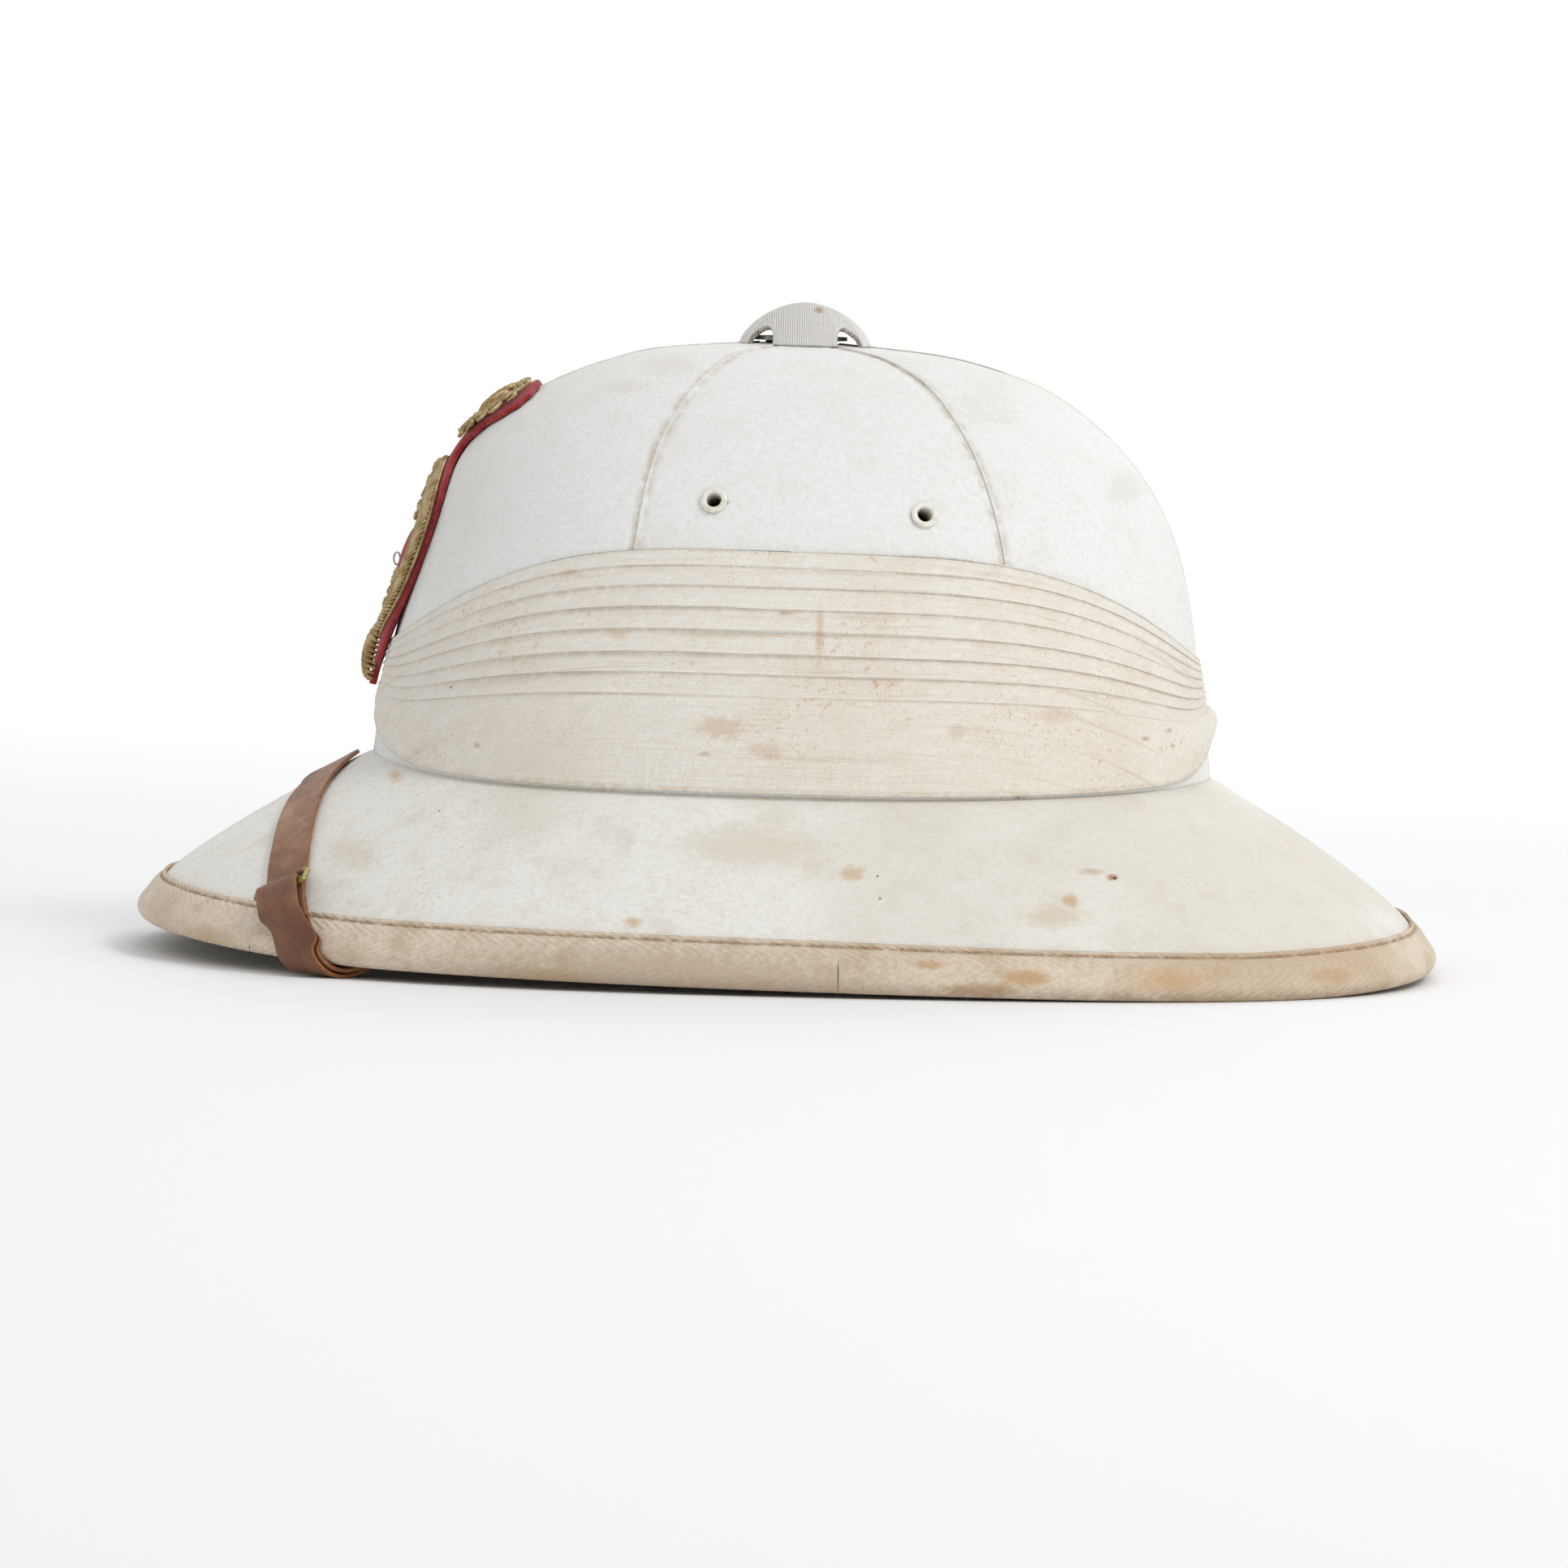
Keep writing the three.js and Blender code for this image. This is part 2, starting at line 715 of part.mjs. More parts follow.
// Places along the strap's way on one side of the hat, from the middle of the peak to the end above the post. Each
// has a point on the hat's outside, the direction away from the hat, the direction of the rim, and how far the
// strap's crease there follows that direction.
function strapWay(sign) {
  const hatAngle = (turn) => sign * (180 - turn) * degree;
  const rimDirection = (angle) => brimSurface(angle + 0.02, 1).sub(brimSurface(angle - 0.02, 1)).normalize();
  const places = [];
  const overFace = (rows, steps, face) => {
    for (let step = 0; step <= steps; step++) {
      const angle = hatAngle(column(rows, "turn", step / steps));
      const share = Math.min(column(rows, "share", step / steps), 1);
      const width = brimSurface(angle, 0).distanceTo(brimSurface(angle, 1));
      const reach = 1.1 * strap.width;
      const toEdge = Math.min((1 - share) * width, face < 0 ? share * width : reach);
      const lift = skinHeight(angle, share) + (face < 0 ? strap.slack * THREE.MathUtils.smoothstep(toEdge, 0, 4) : 0);
      places.push({
        point: brimPoint(angle, share, face * lift),
        normal: brimNormal(angle, share).multiplyScalar(face),
        rim: rimDirection(angle),
        crease: 1 - THREE.MathUtils.smoothstep(toEdge, 0, reach),
      });
    }
  };
  overFace(strapOverPeak, 14, 1);
  const [rimIn] = strapOverPeak.slice(-1);
  const [rimOut] = strapUnderBrim;
  for (const turn of [60, 30, 0, -30, -60]) {
    const angle = hatAngle(THREE.MathUtils.mapLinear(turn, 90, -90, rimIn.turn, rimOut.turn));
    const point = edgePoint(angle, turn, rimRadius);
    const normal = edgePoint(angle, turn, rimRadius + 1).sub(point);
    places.push({ point, normal, rim: rimDirection(angle), crease: 1 });
  }
  overFace(strapUnderBrim, 9, -1);
  const angle = hatAngle(post.turn);
  const inward = normalOf(crownSurface, angle, 0).negate();
  const corner = crownPoint(angle, 0, -skinDepth - strap.slack);
  const below = inward.clone().add(new THREE.Vector3(0, 0, -1)).normalize();
  places.push({ point: corner, normal: below, rim: rimDirection(angle), crease: 1 });
  for (const height of [3, post.height, post.height + strap.end]) {
    const share = shareWhere(crownRows, "level", height / (crown.top - crown.seam));
    const point = crownPoint(angle, share, -skinDepth - strap.wallSlack);
    const normal = normalOf(crownSurface, angle, share).negate();
    places.push({ point, normal, rim: rimDirection(angle), crease: 1 });
  }
  return places;
}

// The distance along a way at each of its places.
function distancesAlong(way) {
  const distances = [0];
  for (let step = 1; step < way.length; step++) {
    distances.push(distances[step - 1] + way[step].point.distanceTo(way[step - 1].point));
  }
  return distances;
}

// The place a given distance along a way, raised off the hat by a height.
function placeAlong(way, distance, height) {
  const distances = distancesAlong(way);
  const next = Math.max(1, distances.findIndex((value) => value >= distance));
  const share = (distance - distances[next - 1]) / (distances[next] - distances[next - 1]);
  const normal = way[next - 1].normal.clone().lerp(way[next].normal, share).normalize();
  const point = way[next - 1].point.clone().lerp(way[next].point, share).addScaledVector(normal, height);
  const along = way[next].point.clone().sub(way[next - 1].point).normalize();
  const crease = THREE.MathUtils.lerp(way[next - 1].crease, way[next].crease, share);
  return { point, normal, along, rim: way[next].rim, crease };
}

// A flat strip along a row of places.
function ribbon(places) {
  const loops = places.map((place, step) => {
    const before = places[Math.max(step - 1, 0)].point;
    const after = places[Math.min(step + 1, places.length - 1)].point;
    const along = after.clone().sub(before).normalize();
    const square = new THREE.Vector3().crossVectors(along, place.normal).normalize();
    const rimward = place.rim.clone().multiplyScalar(Math.sign(place.rim.dot(square)));
    const across = square.clone().lerp(rimward, place.crease).normalize();
    across.multiplyScalar(1 / across.dot(square));
    const out = new THREE.Vector3().crossVectors(square, along);
    const corner = (side, face) =>
      place.point
        .clone()
        .addScaledVector(across, (side * strap.width) / 2)
        .addScaledVector(out, (face * strap.thickness) / 2);
    return [corner(-1, -1), corner(1, -1), corner(1, 1), corner(-1, 1)];
  });
  return skin(loops);
}

const ways = { left: strapWay(-1), right: strapWay(1) };
const firstLayer = strap.gap + strap.thickness / 2;
const secondLayer = firstLayer + strapPitch;

// The distances along the left way of the rim, of the long strap's free end and of the buckle's lower bar.
const rimDistance = distancesAlong(ways.left)[14];
const tailEnd = rimDistance + Math.PI * rimRadius + strap.tail;
const buckleBar = rimDistance - buckle.fromRim;
const barHeight = secondLayer + buckle.foldRadius;

function lifted(place, height) {
  return { ...place, point: place.point.clone().addScaledVector(place.normal, height) };
}

// The long strap, from the right post over the peak, through the buckle and round the left rim to its free end. It
// hangs a little slack round the right rim, as low there as both straps do on the left.
function longStrap() {
  const distances = distancesAlong(ways.left);
  const { smoothstep } = THREE.MathUtils;
  const right = ways.right.map((place, step) => {
    const slack = smoothstep(distances[step], rimDistance - 20, rimDistance - 2);
    const tight = smoothstep(distances[step], rimDistance + 14, rimDistance + 34);
    return lifted(place, firstLayer + strapPitch * (slack - tight));
  });
  const left = ways.left.filter((place, step) => step > 0 && distances[step] < tailEnd);
  const places = [...right.reverse(), ...left.map((place) => lifted(place, firstLayer))];
  places.push(placeAlong(ways.left, tailEnd, firstLayer));
  return cut(ribbon(places), [postHole(1)]);
}

// The short strap. Its end is folded back under the buckle's lower bar and goes round it, and the rest lies over
// the long strap, round the rim and below the brim to the left post.
function shortStrap() {
  const way = ways.left;
  const distances = distancesAlong(way);
  const foldEnd = buckleBar + strap.foldBack;
  const places = [foldEnd, buckleBar + strap.foldBack / 2, buckleBar].map((distance) => {
    return placeAlong(way, distance, secondLayer);
  });
  const bar = placeAlong(way, buckleBar, barHeight);
  for (const turn of [-60, -30, 0, 30, 60, 90]) {
    const normal = bar.normal
      .clone()
      .multiplyScalar(Math.sin(turn * degree))
      .addScaledVector(bar.along, -Math.cos(turn * degree));
    places.push(lifted({ ...bar, normal }, buckle.foldRadius));
  }
  const heightAt = (distance) => {
    const { lerp, smoothstep } = THREE.MathUtils;
    const offFold = smoothstep(distance, foldEnd - 1, foldEnd + 6);
    const offTail = smoothstep(distance, tailEnd + 2, tailEnd + 14);
    return lerp(lerp(barHeight + buckle.foldRadius, secondLayer, offFold), firstLayer, offTail);
  };
  for (const distance of [buckleBar + strap.foldBack / 2, foldEnd - 1, foldEnd + 2.5]) {
    places.push(placeAlong(way, distance, heightAt(distance)));
  }
  way.forEach((place, step) => {
    if (distances[step] > foldEnd + 4) places.push(lifted(place, heightAt(distances[step])));
  });
  return cut(ribbon(places), [postHole(-1)]);
}

// A flat rectangular frame. Its lower bar is inside the short strap's fold, and its upper bar lies on the long strap.
function strapBuckle() {
  const outline = (across, along, corner) => {
    const shape = new THREE.Shape();
    const [x, y] = [across / 2 - corner, along / 2 - corner];
    shape.absarc(x, y, corner, 0, Math.PI / 2);
    shape.absarc(-x, y, corner, Math.PI / 2, Math.PI);
    shape.absarc(-x, -y, corner, Math.PI, 1.5 * Math.PI);
    shape.absarc(x, -y, corner, 1.5 * Math.PI, 2 * Math.PI);
    return shape;
  };
  const frame = outline(buckle.across, buckle.along, buckle.corner);
  frame.holes.push(outline(buckle.across - 2 * buckle.bar, buckle.along - 2 * buckle.bar, buckle.corner / 3));
  const shape = new THREE.ExtrudeGeometry(frame, {
    depth: buckle.thickness,
    bevelEnabled: false,
    curveSegments: 3,
  });
  shape.translate(0, buckle.along / 2 - buckle.bar / 2, -buckle.thickness / 2);
  const span = buckle.along - buckle.bar;
  const low = placeAlong(ways.left, buckleBar, barHeight);
  const high = placeAlong(ways.left, buckleBar - span, firstLayer + (strap.thickness + buckle.thickness) / 2 + clearance);
  const up = high.point.clone().sub(low.point).normalize();
  const across = new THREE.Vector3().crossVectors(up, low.normal).normalize();
  const out = new THREE.Vector3().crossVectors(across, up);
  return shape.applyMatrix4(new THREE.Matrix4().makeBasis(across, up, out).setPosition(low.point));
}

function postSeat(sign) {
  const angle = sign * (180 - post.turn) * degree;
  const share = shareWhere(crownRows, "level", post.height / (crown.top - crown.seam));
  return { point: crownPoint(angle, share, -skinDepth), inward: normalOf(crownSurface, angle, share).negate() };
}

function postHole(sign) {
  const seat = postSeat(sign);
  const radius = post.stem + clearance;
  const drill = new THREE.CylinderGeometry(radius, radius, 8 * strapPitch, 10).rotateX(Math.PI / 2);
  return placed(drill, seat.point, seat.inward);
}

function strapPost(sign) {
  const seat = postSeat(sign);
  const foot = strap.wallSlack;
  const under = foot + strap.gap + strap.thickness + clearance;
  const profile = [
    [0, foot],
    [post.stem, foot],
    [post.stem, under],
    [post.head, under],
    [post.head, under + post.headThickness],
    [0, under + post.headThickness],
  ];
  return placed(turned(profile, 12), seat.point, seat.inward);
}

// The line up the front of the crown, with the distance along it from the badge's lower end.
const frontLine = Array.from({ length: 161 }, (unused, step) => ({ share: step / 160, up: 0 }));
frontLine.forEach((place, step) => {
  if (step > 0) {
    const here = crownSurface(Math.PI, place.share);
    place.up = frontLine[step - 1].up + here.distanceTo(crownSurface(Math.PI, frontLine[step - 1].share));
  }
});
const badgeLevel = (badge.bottom - seamHeight(Math.PI)) / (crown.top - seamHeight(Math.PI));
const badgeStart = column(frontLine, "up", shareWhere(crownRows, "level", badgeLevel));

// A point over the front of the crown, given across the hat and up from the badge's lower end.
function badgePoint(across, up, out) {
  const share = column(frontLine, "share", shareWhere(frontLine, "up", badgeStart + up));
  const reach = crown.side * column(crownRows, "side", share);
  const sine = (Math.abs(across) / reach) ** (crown.fullness / 2);
  return crownPoint(Math.PI - Math.sign(across) * Math.asin(sine), share, out);
}

function feltBase(up) {
  return clearance + band.thickness * column(badgeRows, "lift", shareWhere(badgeRows, "up", up / badge.height));
}

function badgeFelt() {
  const columns = [-1, -0.5, 0, 0.5, 1];
  const loops = badgeRows.map((row) => {
    const up = row.up * badge.height;
    const line = (out) => columns.map((side) => badgePoint((side * row.wide * badge.width) / 2, up, out));
    return [...line(feltBase(up) + badge.felt), ...line(feltBase(up)).reverse()];
  });
  return skin(loops);
}

// A domed oval boss of bullion or felt on the badge's backing.
function badgeBoss(boss) {
  const columns = [-1, -0.6, -0.2, 0.2, 0.6, 1];
  const rows = [-0.97, -0.75, -0.4, 0, 0.4, 0.75, 0.97];
  const loops = rows.map((row) => {
    const up = (boss.middle + row * boss.tall) * badge.height;
    const half = (Math.sqrt(1 - row * row) * boss.wide * badge.width) / 2;
    const base = feltBase(up) + badge.felt + clearance;
    const rise = boss.relief * badge.relief;
    const top = (side) => base + rise * (0.3 + 0.7 * Math.sqrt((1 - 0.9 * side * side) * (1 - row * row)));
    return [
      ...columns.map((side) => badgePoint(side * half, up, top(side))),
      ...columns.map((side) => badgePoint(side * half, up, base)).reverse(),
    ];
  });
  return skin(loops);
}

// A leafy branch of the wreath, wider at each pair of leaves.
function wreathBranch(sign) {
  const stations = 16;
  const leaves = 6;
  const spot = (share) => ({
    x: (sign * column(branchRows, "out", share) * badge.width) / 2,
    y: column(branchRows, "up", share) * badge.height,
  });
  const loops = Array.from({ length: stations + 1 }, (unused, station) => {
    const share = station / stations;
    const here = spot(share);
    const before = spot(share - 0.02);
    const after = spot(share + 0.02);
    const length = Math.hypot(after.x - before.x, after.y - before.y);
    const [dx, dy] = [(before.y - after.y) / length, (after.x - before.x) / length];
    const leaf = 1 + 0.22 * Math.cos(share * leaves * 2 * Math.PI);
    const half = (column(branchRows, "wide", share) * badge.width * leaf) / 2;
    const point = (side, rise) => {
      const up = here.y + dy * side * half;
      return badgePoint(here.x + dx * side * half, up, feltBase(up) + badge.felt + clearance + rise * badge.relief);
    };
    return [point(-1, 0), point(-0.7, 0.75), point(0, 1), point(0.7, 0.75), point(1, 0), point(0, 0)];
  });
  return skin(loops);
}

// A small wire loop that stands on the badge's centre.
function badgeLoop() {
  const up = bosses.centre.middle * badge.height;
  const high = feltBase(up) + badge.felt + 2 * clearance + bosses.centre.relief * badge.relief + badge.loopRadius;
  const centre = badgePoint(0, up, high + badge.loopWire);
  const ring = new THREE.TorusGeometry(badge.loopRadius, badge.loopWire, 5, 10).rotateX(Math.PI / 2);
  return ring.translate(centre.x, centre.y, centre.z);
}

add("crown_shell", crownShell(), colours.pith, 0.9);
for (const gore of gores) {
  add(gore.name, cut(crownPanel(gore), eyeletSeats.map(eyeletHole)), colours.crownCloth, 0.85);
}
add("brim", brimBody(), colours.brimCloth, 0.85);
add("rim_tape", rimTape(), colours.tape, 0.85);
add("puggaree", puggaree(), colours.muslin, 0.9);
add("vent_collar", ventCollar(), colours.steel, 0.5, 0.8);
add("vent_cap", ventCap(), colours.crownCloth, 0.85);
for (const seat of eyeletSeats) {
  add(seat.name, eyeletRing(seat), colours.enamel, 0.4);
}
add("strap_long", longStrap(), colours.leather, 0.6);
add("strap_short", shortStrap(), colours.leather, 0.6);
add("buckle", strapBuckle(), colours.brass, 0.35, 1);
for (const side of sides) {
  add(`strap_post_${side.name}`, strapPost(side.sign), colours.brass, 0.4, 1);
}
add("badge_felt", badgeFelt(), colours.felt, 0.95);
for (const side of sides) {
  add(`badge_wreath_${side.name}`, wreathBranch(side.sign), colours.bullion, 0.5, 0.6);
}
add("badge_knot", badgeBoss(bosses.knot), colours.bullion, 0.5, 0.6);
add("badge_centre", badgeBoss(bosses.centre), colours.felt, 0.95);
add("badge_coronet", badgeBoss(bosses.coronet), colours.bullion, 0.5, 0.6);
add("badge_loop", badgeLoop(), colours.silver, 0.3, 1);

export default helmet;
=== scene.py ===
"""Pith sun helmet: cloth, tape, muslin band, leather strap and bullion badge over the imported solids.

Sizes are in millimetres and are scaled to metres where a mesh is made. The front is towards -X and the
wearer's left, which the camera sees, is towards -Y.
"""
import math

import bpy
import numpy as np
from mathutils import Matrix, Vector


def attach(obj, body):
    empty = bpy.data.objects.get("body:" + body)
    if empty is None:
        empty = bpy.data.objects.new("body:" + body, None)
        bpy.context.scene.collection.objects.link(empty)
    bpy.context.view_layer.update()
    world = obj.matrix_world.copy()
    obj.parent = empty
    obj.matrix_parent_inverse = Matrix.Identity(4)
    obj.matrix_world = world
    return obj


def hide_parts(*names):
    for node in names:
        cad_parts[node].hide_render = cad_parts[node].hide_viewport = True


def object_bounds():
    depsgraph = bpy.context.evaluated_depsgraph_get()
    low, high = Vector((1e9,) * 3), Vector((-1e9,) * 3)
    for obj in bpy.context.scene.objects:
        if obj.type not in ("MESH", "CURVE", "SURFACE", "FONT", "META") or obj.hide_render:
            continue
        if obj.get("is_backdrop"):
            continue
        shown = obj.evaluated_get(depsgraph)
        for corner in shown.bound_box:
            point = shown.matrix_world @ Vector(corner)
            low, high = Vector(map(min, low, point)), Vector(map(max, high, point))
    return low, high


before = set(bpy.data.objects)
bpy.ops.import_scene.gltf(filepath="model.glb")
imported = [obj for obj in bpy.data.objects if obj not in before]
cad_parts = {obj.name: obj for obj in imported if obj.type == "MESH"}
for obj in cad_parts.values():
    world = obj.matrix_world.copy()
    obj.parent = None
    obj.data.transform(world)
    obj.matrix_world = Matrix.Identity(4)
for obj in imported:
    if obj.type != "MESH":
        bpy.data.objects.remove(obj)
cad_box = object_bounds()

METRE = 0.001
DEGREE = math.pi / 180
CLEARANCE = 0.3

CROWN = dict(
    front=110.7,
    back=111.8,
    side=92.5,
    top=161,
    seam=45.8,
    front_rise=3.5,
    back_rise=2.7,
    fullness=2.2,
    cloth=1,
    shell=4.5,
)

RIM = dict(
    front=172.7,
    back=172.6,
    side=134,
    front_fullness=2.3,
    back_fullness=2.8,
    front_lift=4.6,
    lift_from=100,
    sag=1.8,
    lowest=120,
    back_lift=2.9,
)

BRIM_THICKNESS = 4.4
TAPE = dict(thickness=0.9, width=9, footing=0.35, stitch=7.6)
BAND = dict(
    side_top=108.4,
    front_drop=29.5,
    back_drop=28.5,
    front_rise=8.5,
    back_rise=9.4,
    hem=0.5,
    thickness=1.5,
)
VENT = dict(hole=10.5, radius=17.2, height=10.9, wall=1.4, shift=1.5, tab=17, arch=4.6)
EYELET = dict(flange=3.55, thickness=0.9, bore=1.9, wall=0.7)
STRAP = dict(
    width=11.5,
    thickness=1.1,
    gap=0.6,
    layer_gap=0.45,
    slack=0.6,
    wall_slack=1.3,
    fold_back=9,
    tail=24,
    end=7,
)
BUCKLE = dict(across=15.6, along=9, bar=1.5, thickness=1.2, corner=1.5, fold_radius=1.85, from_rim=16)
POST = dict(turn=69, height=9)
BADGE = dict(bottom=66.5, height=93, width=46, felt=1.8, relief=3.4)
SEAM_ANGLES = (0, 60, 113, 180, 247, 300, 360)

# Columns of the crown's shape from its seam to the vent: shares of its height and of its reaches.
CROWN_LEVEL = (0, 0.14, 0.28, 0.42, 0.55, 0.67, 0.77, 0.85, 0.91, 0.953, 0.98, 1)
CROWN_FRONT = (
    *(1, 0.983, 0.954, 0.918, 0.876, 0.831, 0.764, 0.665, 0.553, 0.437, 0.324),
    VENT["hole"] / CROWN["front"],
)
CROWN_BACK = (
    *(1, 0.985, 0.962, 0.94, 0.906, 0.847, 0.769, 0.676, 0.578, 0.453, 0.322),
    VENT["hole"] / CROWN["back"],
)
CROWN_SIDE = (
    *(1, 0.984, 0.96, 0.931, 0.893, 0.838, 0.762, 0.668, 0.56, 0.443, 0.331),
    VENT["hole"] / CROWN["side"],
)

# Columns of the brim's shape from the crown's foot to the rim: shares of the way out and of the way down.
BRIM_REACH = (0, 0.08, 0.2, 0.35, 0.5, 0.65, 0.79, 0.91, 1)
BRIM_DROP = (0, 0.05, 0.15, 0.275, 0.407, 0.55, 0.693, 0.843, 1)

# The band's pleats: where each starts and ends below its top edge, and how far its lower fold stands out.
PLEATS = (
    (0, 0.068, 0.2),
    (0.068, 0.149, 0.28),
    (0.149, 0.24, 0.34),
    (0.24, 0.331, 0.4),
    (0.331, 0.426, 0.4),
    (0.426, 0.51, 0.36),
    (0.51, 0.598, 0.34),
)

# The strap's way: degrees from the front, and shares of the brim's width out from the crown.
OVER_PEAK_TURN = (0, 9, 19, 28, 35, 41, 46)
OVER_PEAK_SHARE = (0.22, 0.31, 0.42, 0.55, 0.69, 0.85, 1)
UNDER_BRIM_TURN = (50, 55, 60, 65, 68)
UNDER_BRIM_SHARE = (1, 0.84, 0.6, 0.3, 0.13)

# Columns of the badge's felt, from its lower end up: its width and how far it rides out over the band.
FELT_UP = (0, 0.04, 0.09, 0.17, 0.27, 0.38, 0.5, 0.61, 0.68, 0.73, 0.79, 0.87, 0.94, 1)
FELT_WIDE = (0.12, 0.2, 0.44, 0.68, 0.88, 1, 0.98, 0.8, 0.5, 0.44, 0.62, 0.92, 0.86, 0.5)
FELT_LIFT = (1.25, 1.2, 1.15, 1.05, 0.35, 0.1, 0.1, 0.1, 0.1, 0.1, 0.1, 0.1, 0.1, 0.1)

# One branch of the wreath, from the knot up: its middle line and its width.
BRANCH_UP = (0.15, 0.2, 0.28, 0.38, 0.48, 0.57, 0.63, 0.655)
BRANCH_OUT = (0.22, 0.38, 0.6, 0.74, 0.72, 0.54, 0.3, 0.12)
BRANCH_WIDE = (0.1, 0.17, 0.21, 0.23, 0.22, 0.19, 0.13, 0.08)

KNOT = dict(middle=0.095, tall=0.075, wide=0.3)
CENTRE = dict(middle=0.38, tall=0.1, wide=0.36, relief=0.62)
CORONET = dict(middle=0.855, tall=0.105, wide=0.74)

SKIN_DEPTH = CROWN["cloth"] + CLEARANCE + CROWN["shell"]
RIM_RADIUS = BRIM_THICKNESS / 2 + CLEARANCE + TAPE["thickness"]
STRAP_PITCH = STRAP["thickness"] + STRAP["layer_gap"]


# The hat's surfaces

def column(rows, share):
    """The number in a column at a share of the way from its first row to its last."""
    values = np.array(rows, float)
    at = np.clip(share, 0, 1) * (len(values) - 1)
    row = np.minimum(np.floor(at).astype(int), len(values) - 2)
    u = at - row
    rows_near = (np.clip(row + step, 0, len(values) - 1) for step in (-1, 0, 1, 2))
    before, here, after, beyond = (values[near] for near in rows_near)
    slope_in = (after - before) / 2
    slope_out = (beyond - here) / 2
    cube = 2 * (here - after) + slope_in + slope_out
    square = 3 * (after - here) - 2 * slope_in - slope_out
    return here + u * (slope_in + u * (square + u * cube))


def share_where(rows, wanted):
    """The share of the way down a rising column at which it reaches a wanted number."""
    shares = np.linspace(0, 1, 2001)
    return np.interp(wanted, column(rows, shares), shares)


def smooth_step(value, low, high):
    t = np.clip((value - low) / (high - low), 0, 1)
    return t * t * (3 - 2 * t)


def rim_height(x):
    """How high the rim's underside is: up at the peak's tip, sagging behind it and up again at the back."""
    peak = np.clip((-x - RIM["lift_from"]) / (RIM["front"] - RIM["lift_from"]), 0, 1)
    sag = np.clip((x + RIM["lift_from"]) / (RIM["lowest"] + RIM["lift_from"]), 0, 1)
    tail = np.clip((x - RIM["lowest"]) / (RIM["back"] - RIM["lowest"]), 0, 1)
    return RIM["front_lift"] * peak**1.6 - RIM["sag"] * sag + RIM["back_lift"] * tail**1.6


STRAP_CROSSING = -0.64 * RIM["front"]
STRAP_STACK = STRAP["gap"] + STRAP["thickness"] + STRAP_PITCH + CLEARANCE
LEAN = float((STRAP_STACK - rim_height(STRAP_CROSSING) - RIM["sag"]) / (RIM["lowest"] - STRAP_CROSSING))


def stand(x, y, z):
    """The place of a point once the hat rests on its rim and on the strap folded below its peak."""
    return np.stack(np.broadcast_arrays(x, y, z + RIM["sag"] + LEAN * (RIM["lowest"] - x)), axis=-1)


def oval(angle, front, back, side, front_fullness, back_fullness):
    c, s = np.cos(angle), np.sin(angle)
    power = 2 / np.where(c < 0, front_fullness, back_fullness)
    x = np.sign(c) * np.abs(c) ** power * np.where(c < 0, front, back)
    return x, np.sign(s) * np.abs(s) ** power * side


def seam_height(angle):
    c = np.cos(angle)
    return CROWN["seam"] + np.where(c < 0, CROWN["front_rise"] * c**6, CROWN["back_rise"] * c**2)


def crown_surface(angle, share):
    x, y = oval(
        angle,
        CROWN["front"] * column(CROWN_FRONT, share),
        CROWN["back"] * column(CROWN_BACK, share),
        CROWN["side"] * column(CROWN_SIDE, share),
        CROWN["fullness"],
        CROWN["fullness"],
    )
    foot = seam_height(angle)
    return stand(x, y, foot + (CROWN["top"] - foot) * column(CROWN_LEVEL, share))


def brim_surface(angle, share):
    inset = SKIN_DEPTH / 2
    foot_x, foot_y = oval(
        angle,
        CROWN["front"] - inset,
        CROWN["back"] - inset,
        CROWN["side"] - inset,
        CROWN["fullness"],
        CROWN["fullness"],
    )
    edge_x, edge_y = oval(
        angle,
        RIM["front"] - RIM_RADIUS,
        RIM["back"] - RIM_RADIUS,
        RIM["side"] - RIM_RADIUS,
        RIM["front_fullness"],
        RIM["back_fullness"],
    )
    reach = column(BRIM_REACH, share)
    high = seam_height(angle) - BRIM_THICKNESS / 4
    low = RIM_RADIUS - TAPE["footing"] + rim_height(edge_x)
    x = foot_x + (edge_x - foot_x) * reach
    y = foot_y + (edge_y - foot_y) * reach
    return stand(x, y, high + (low - high) * column(BRIM_DROP, share))


def unit(vectors):
    return vectors / np.linalg.norm(vectors, axis=-1, keepdims=True)


def normal_of(surface, angle, share):
    step = 0.01
    around = surface(angle + step, share) - surface(angle - step, share)
    up = surface(angle, np.minimum(share + step, 1)) - surface(angle, np.maximum(share - step, 0))
    return unit(np.cross(around, up))


def crown_point(angle, share, out):
    return crown_surface(angle, share) + normal_of(crown_surface, angle, share) * np.asarray(out)[..., None]


def brim_normal(angle, share):
    return -normal_of(brim_surface, angle, share)


def brim_point(angle, share, up):
    return brim_surface(angle, share) + brim_normal(angle, share) * np.asarray(up)[..., None]


def edge_point(angle, turn, radius):
    """A point on an arc round the brim's edge: 90 degrees is on top, 0 outside and -90 below."""
    one = np.ones_like(angle)
    outward = unit(brim_surface(angle, one) - brim_surface(angle, one * 0.98))
    turn = np.asarray(turn) * DEGREE
    radius = np.asarray(radius)
    across = outward * (np.cos(turn) * radius)[..., None]
    return brim_surface(angle, one) + across + brim_normal(angle, one) * (np.sin(turn) * radius)[..., None]


def ripple(angle, seed, rounds):
    """A smooth wandering number between about -1 and 1 round the hat."""
    source = np.random.default_rng(seed)
    total = 0
    for turns in range(1, rounds + 1):
        size, phase = source.normal() / turns**0.6, source.uniform(0, 2 * math.pi)
        total = total + size * np.sin(turns * angle + phase)
    return total / math.sqrt(rounds) * 1.2


# Meshes

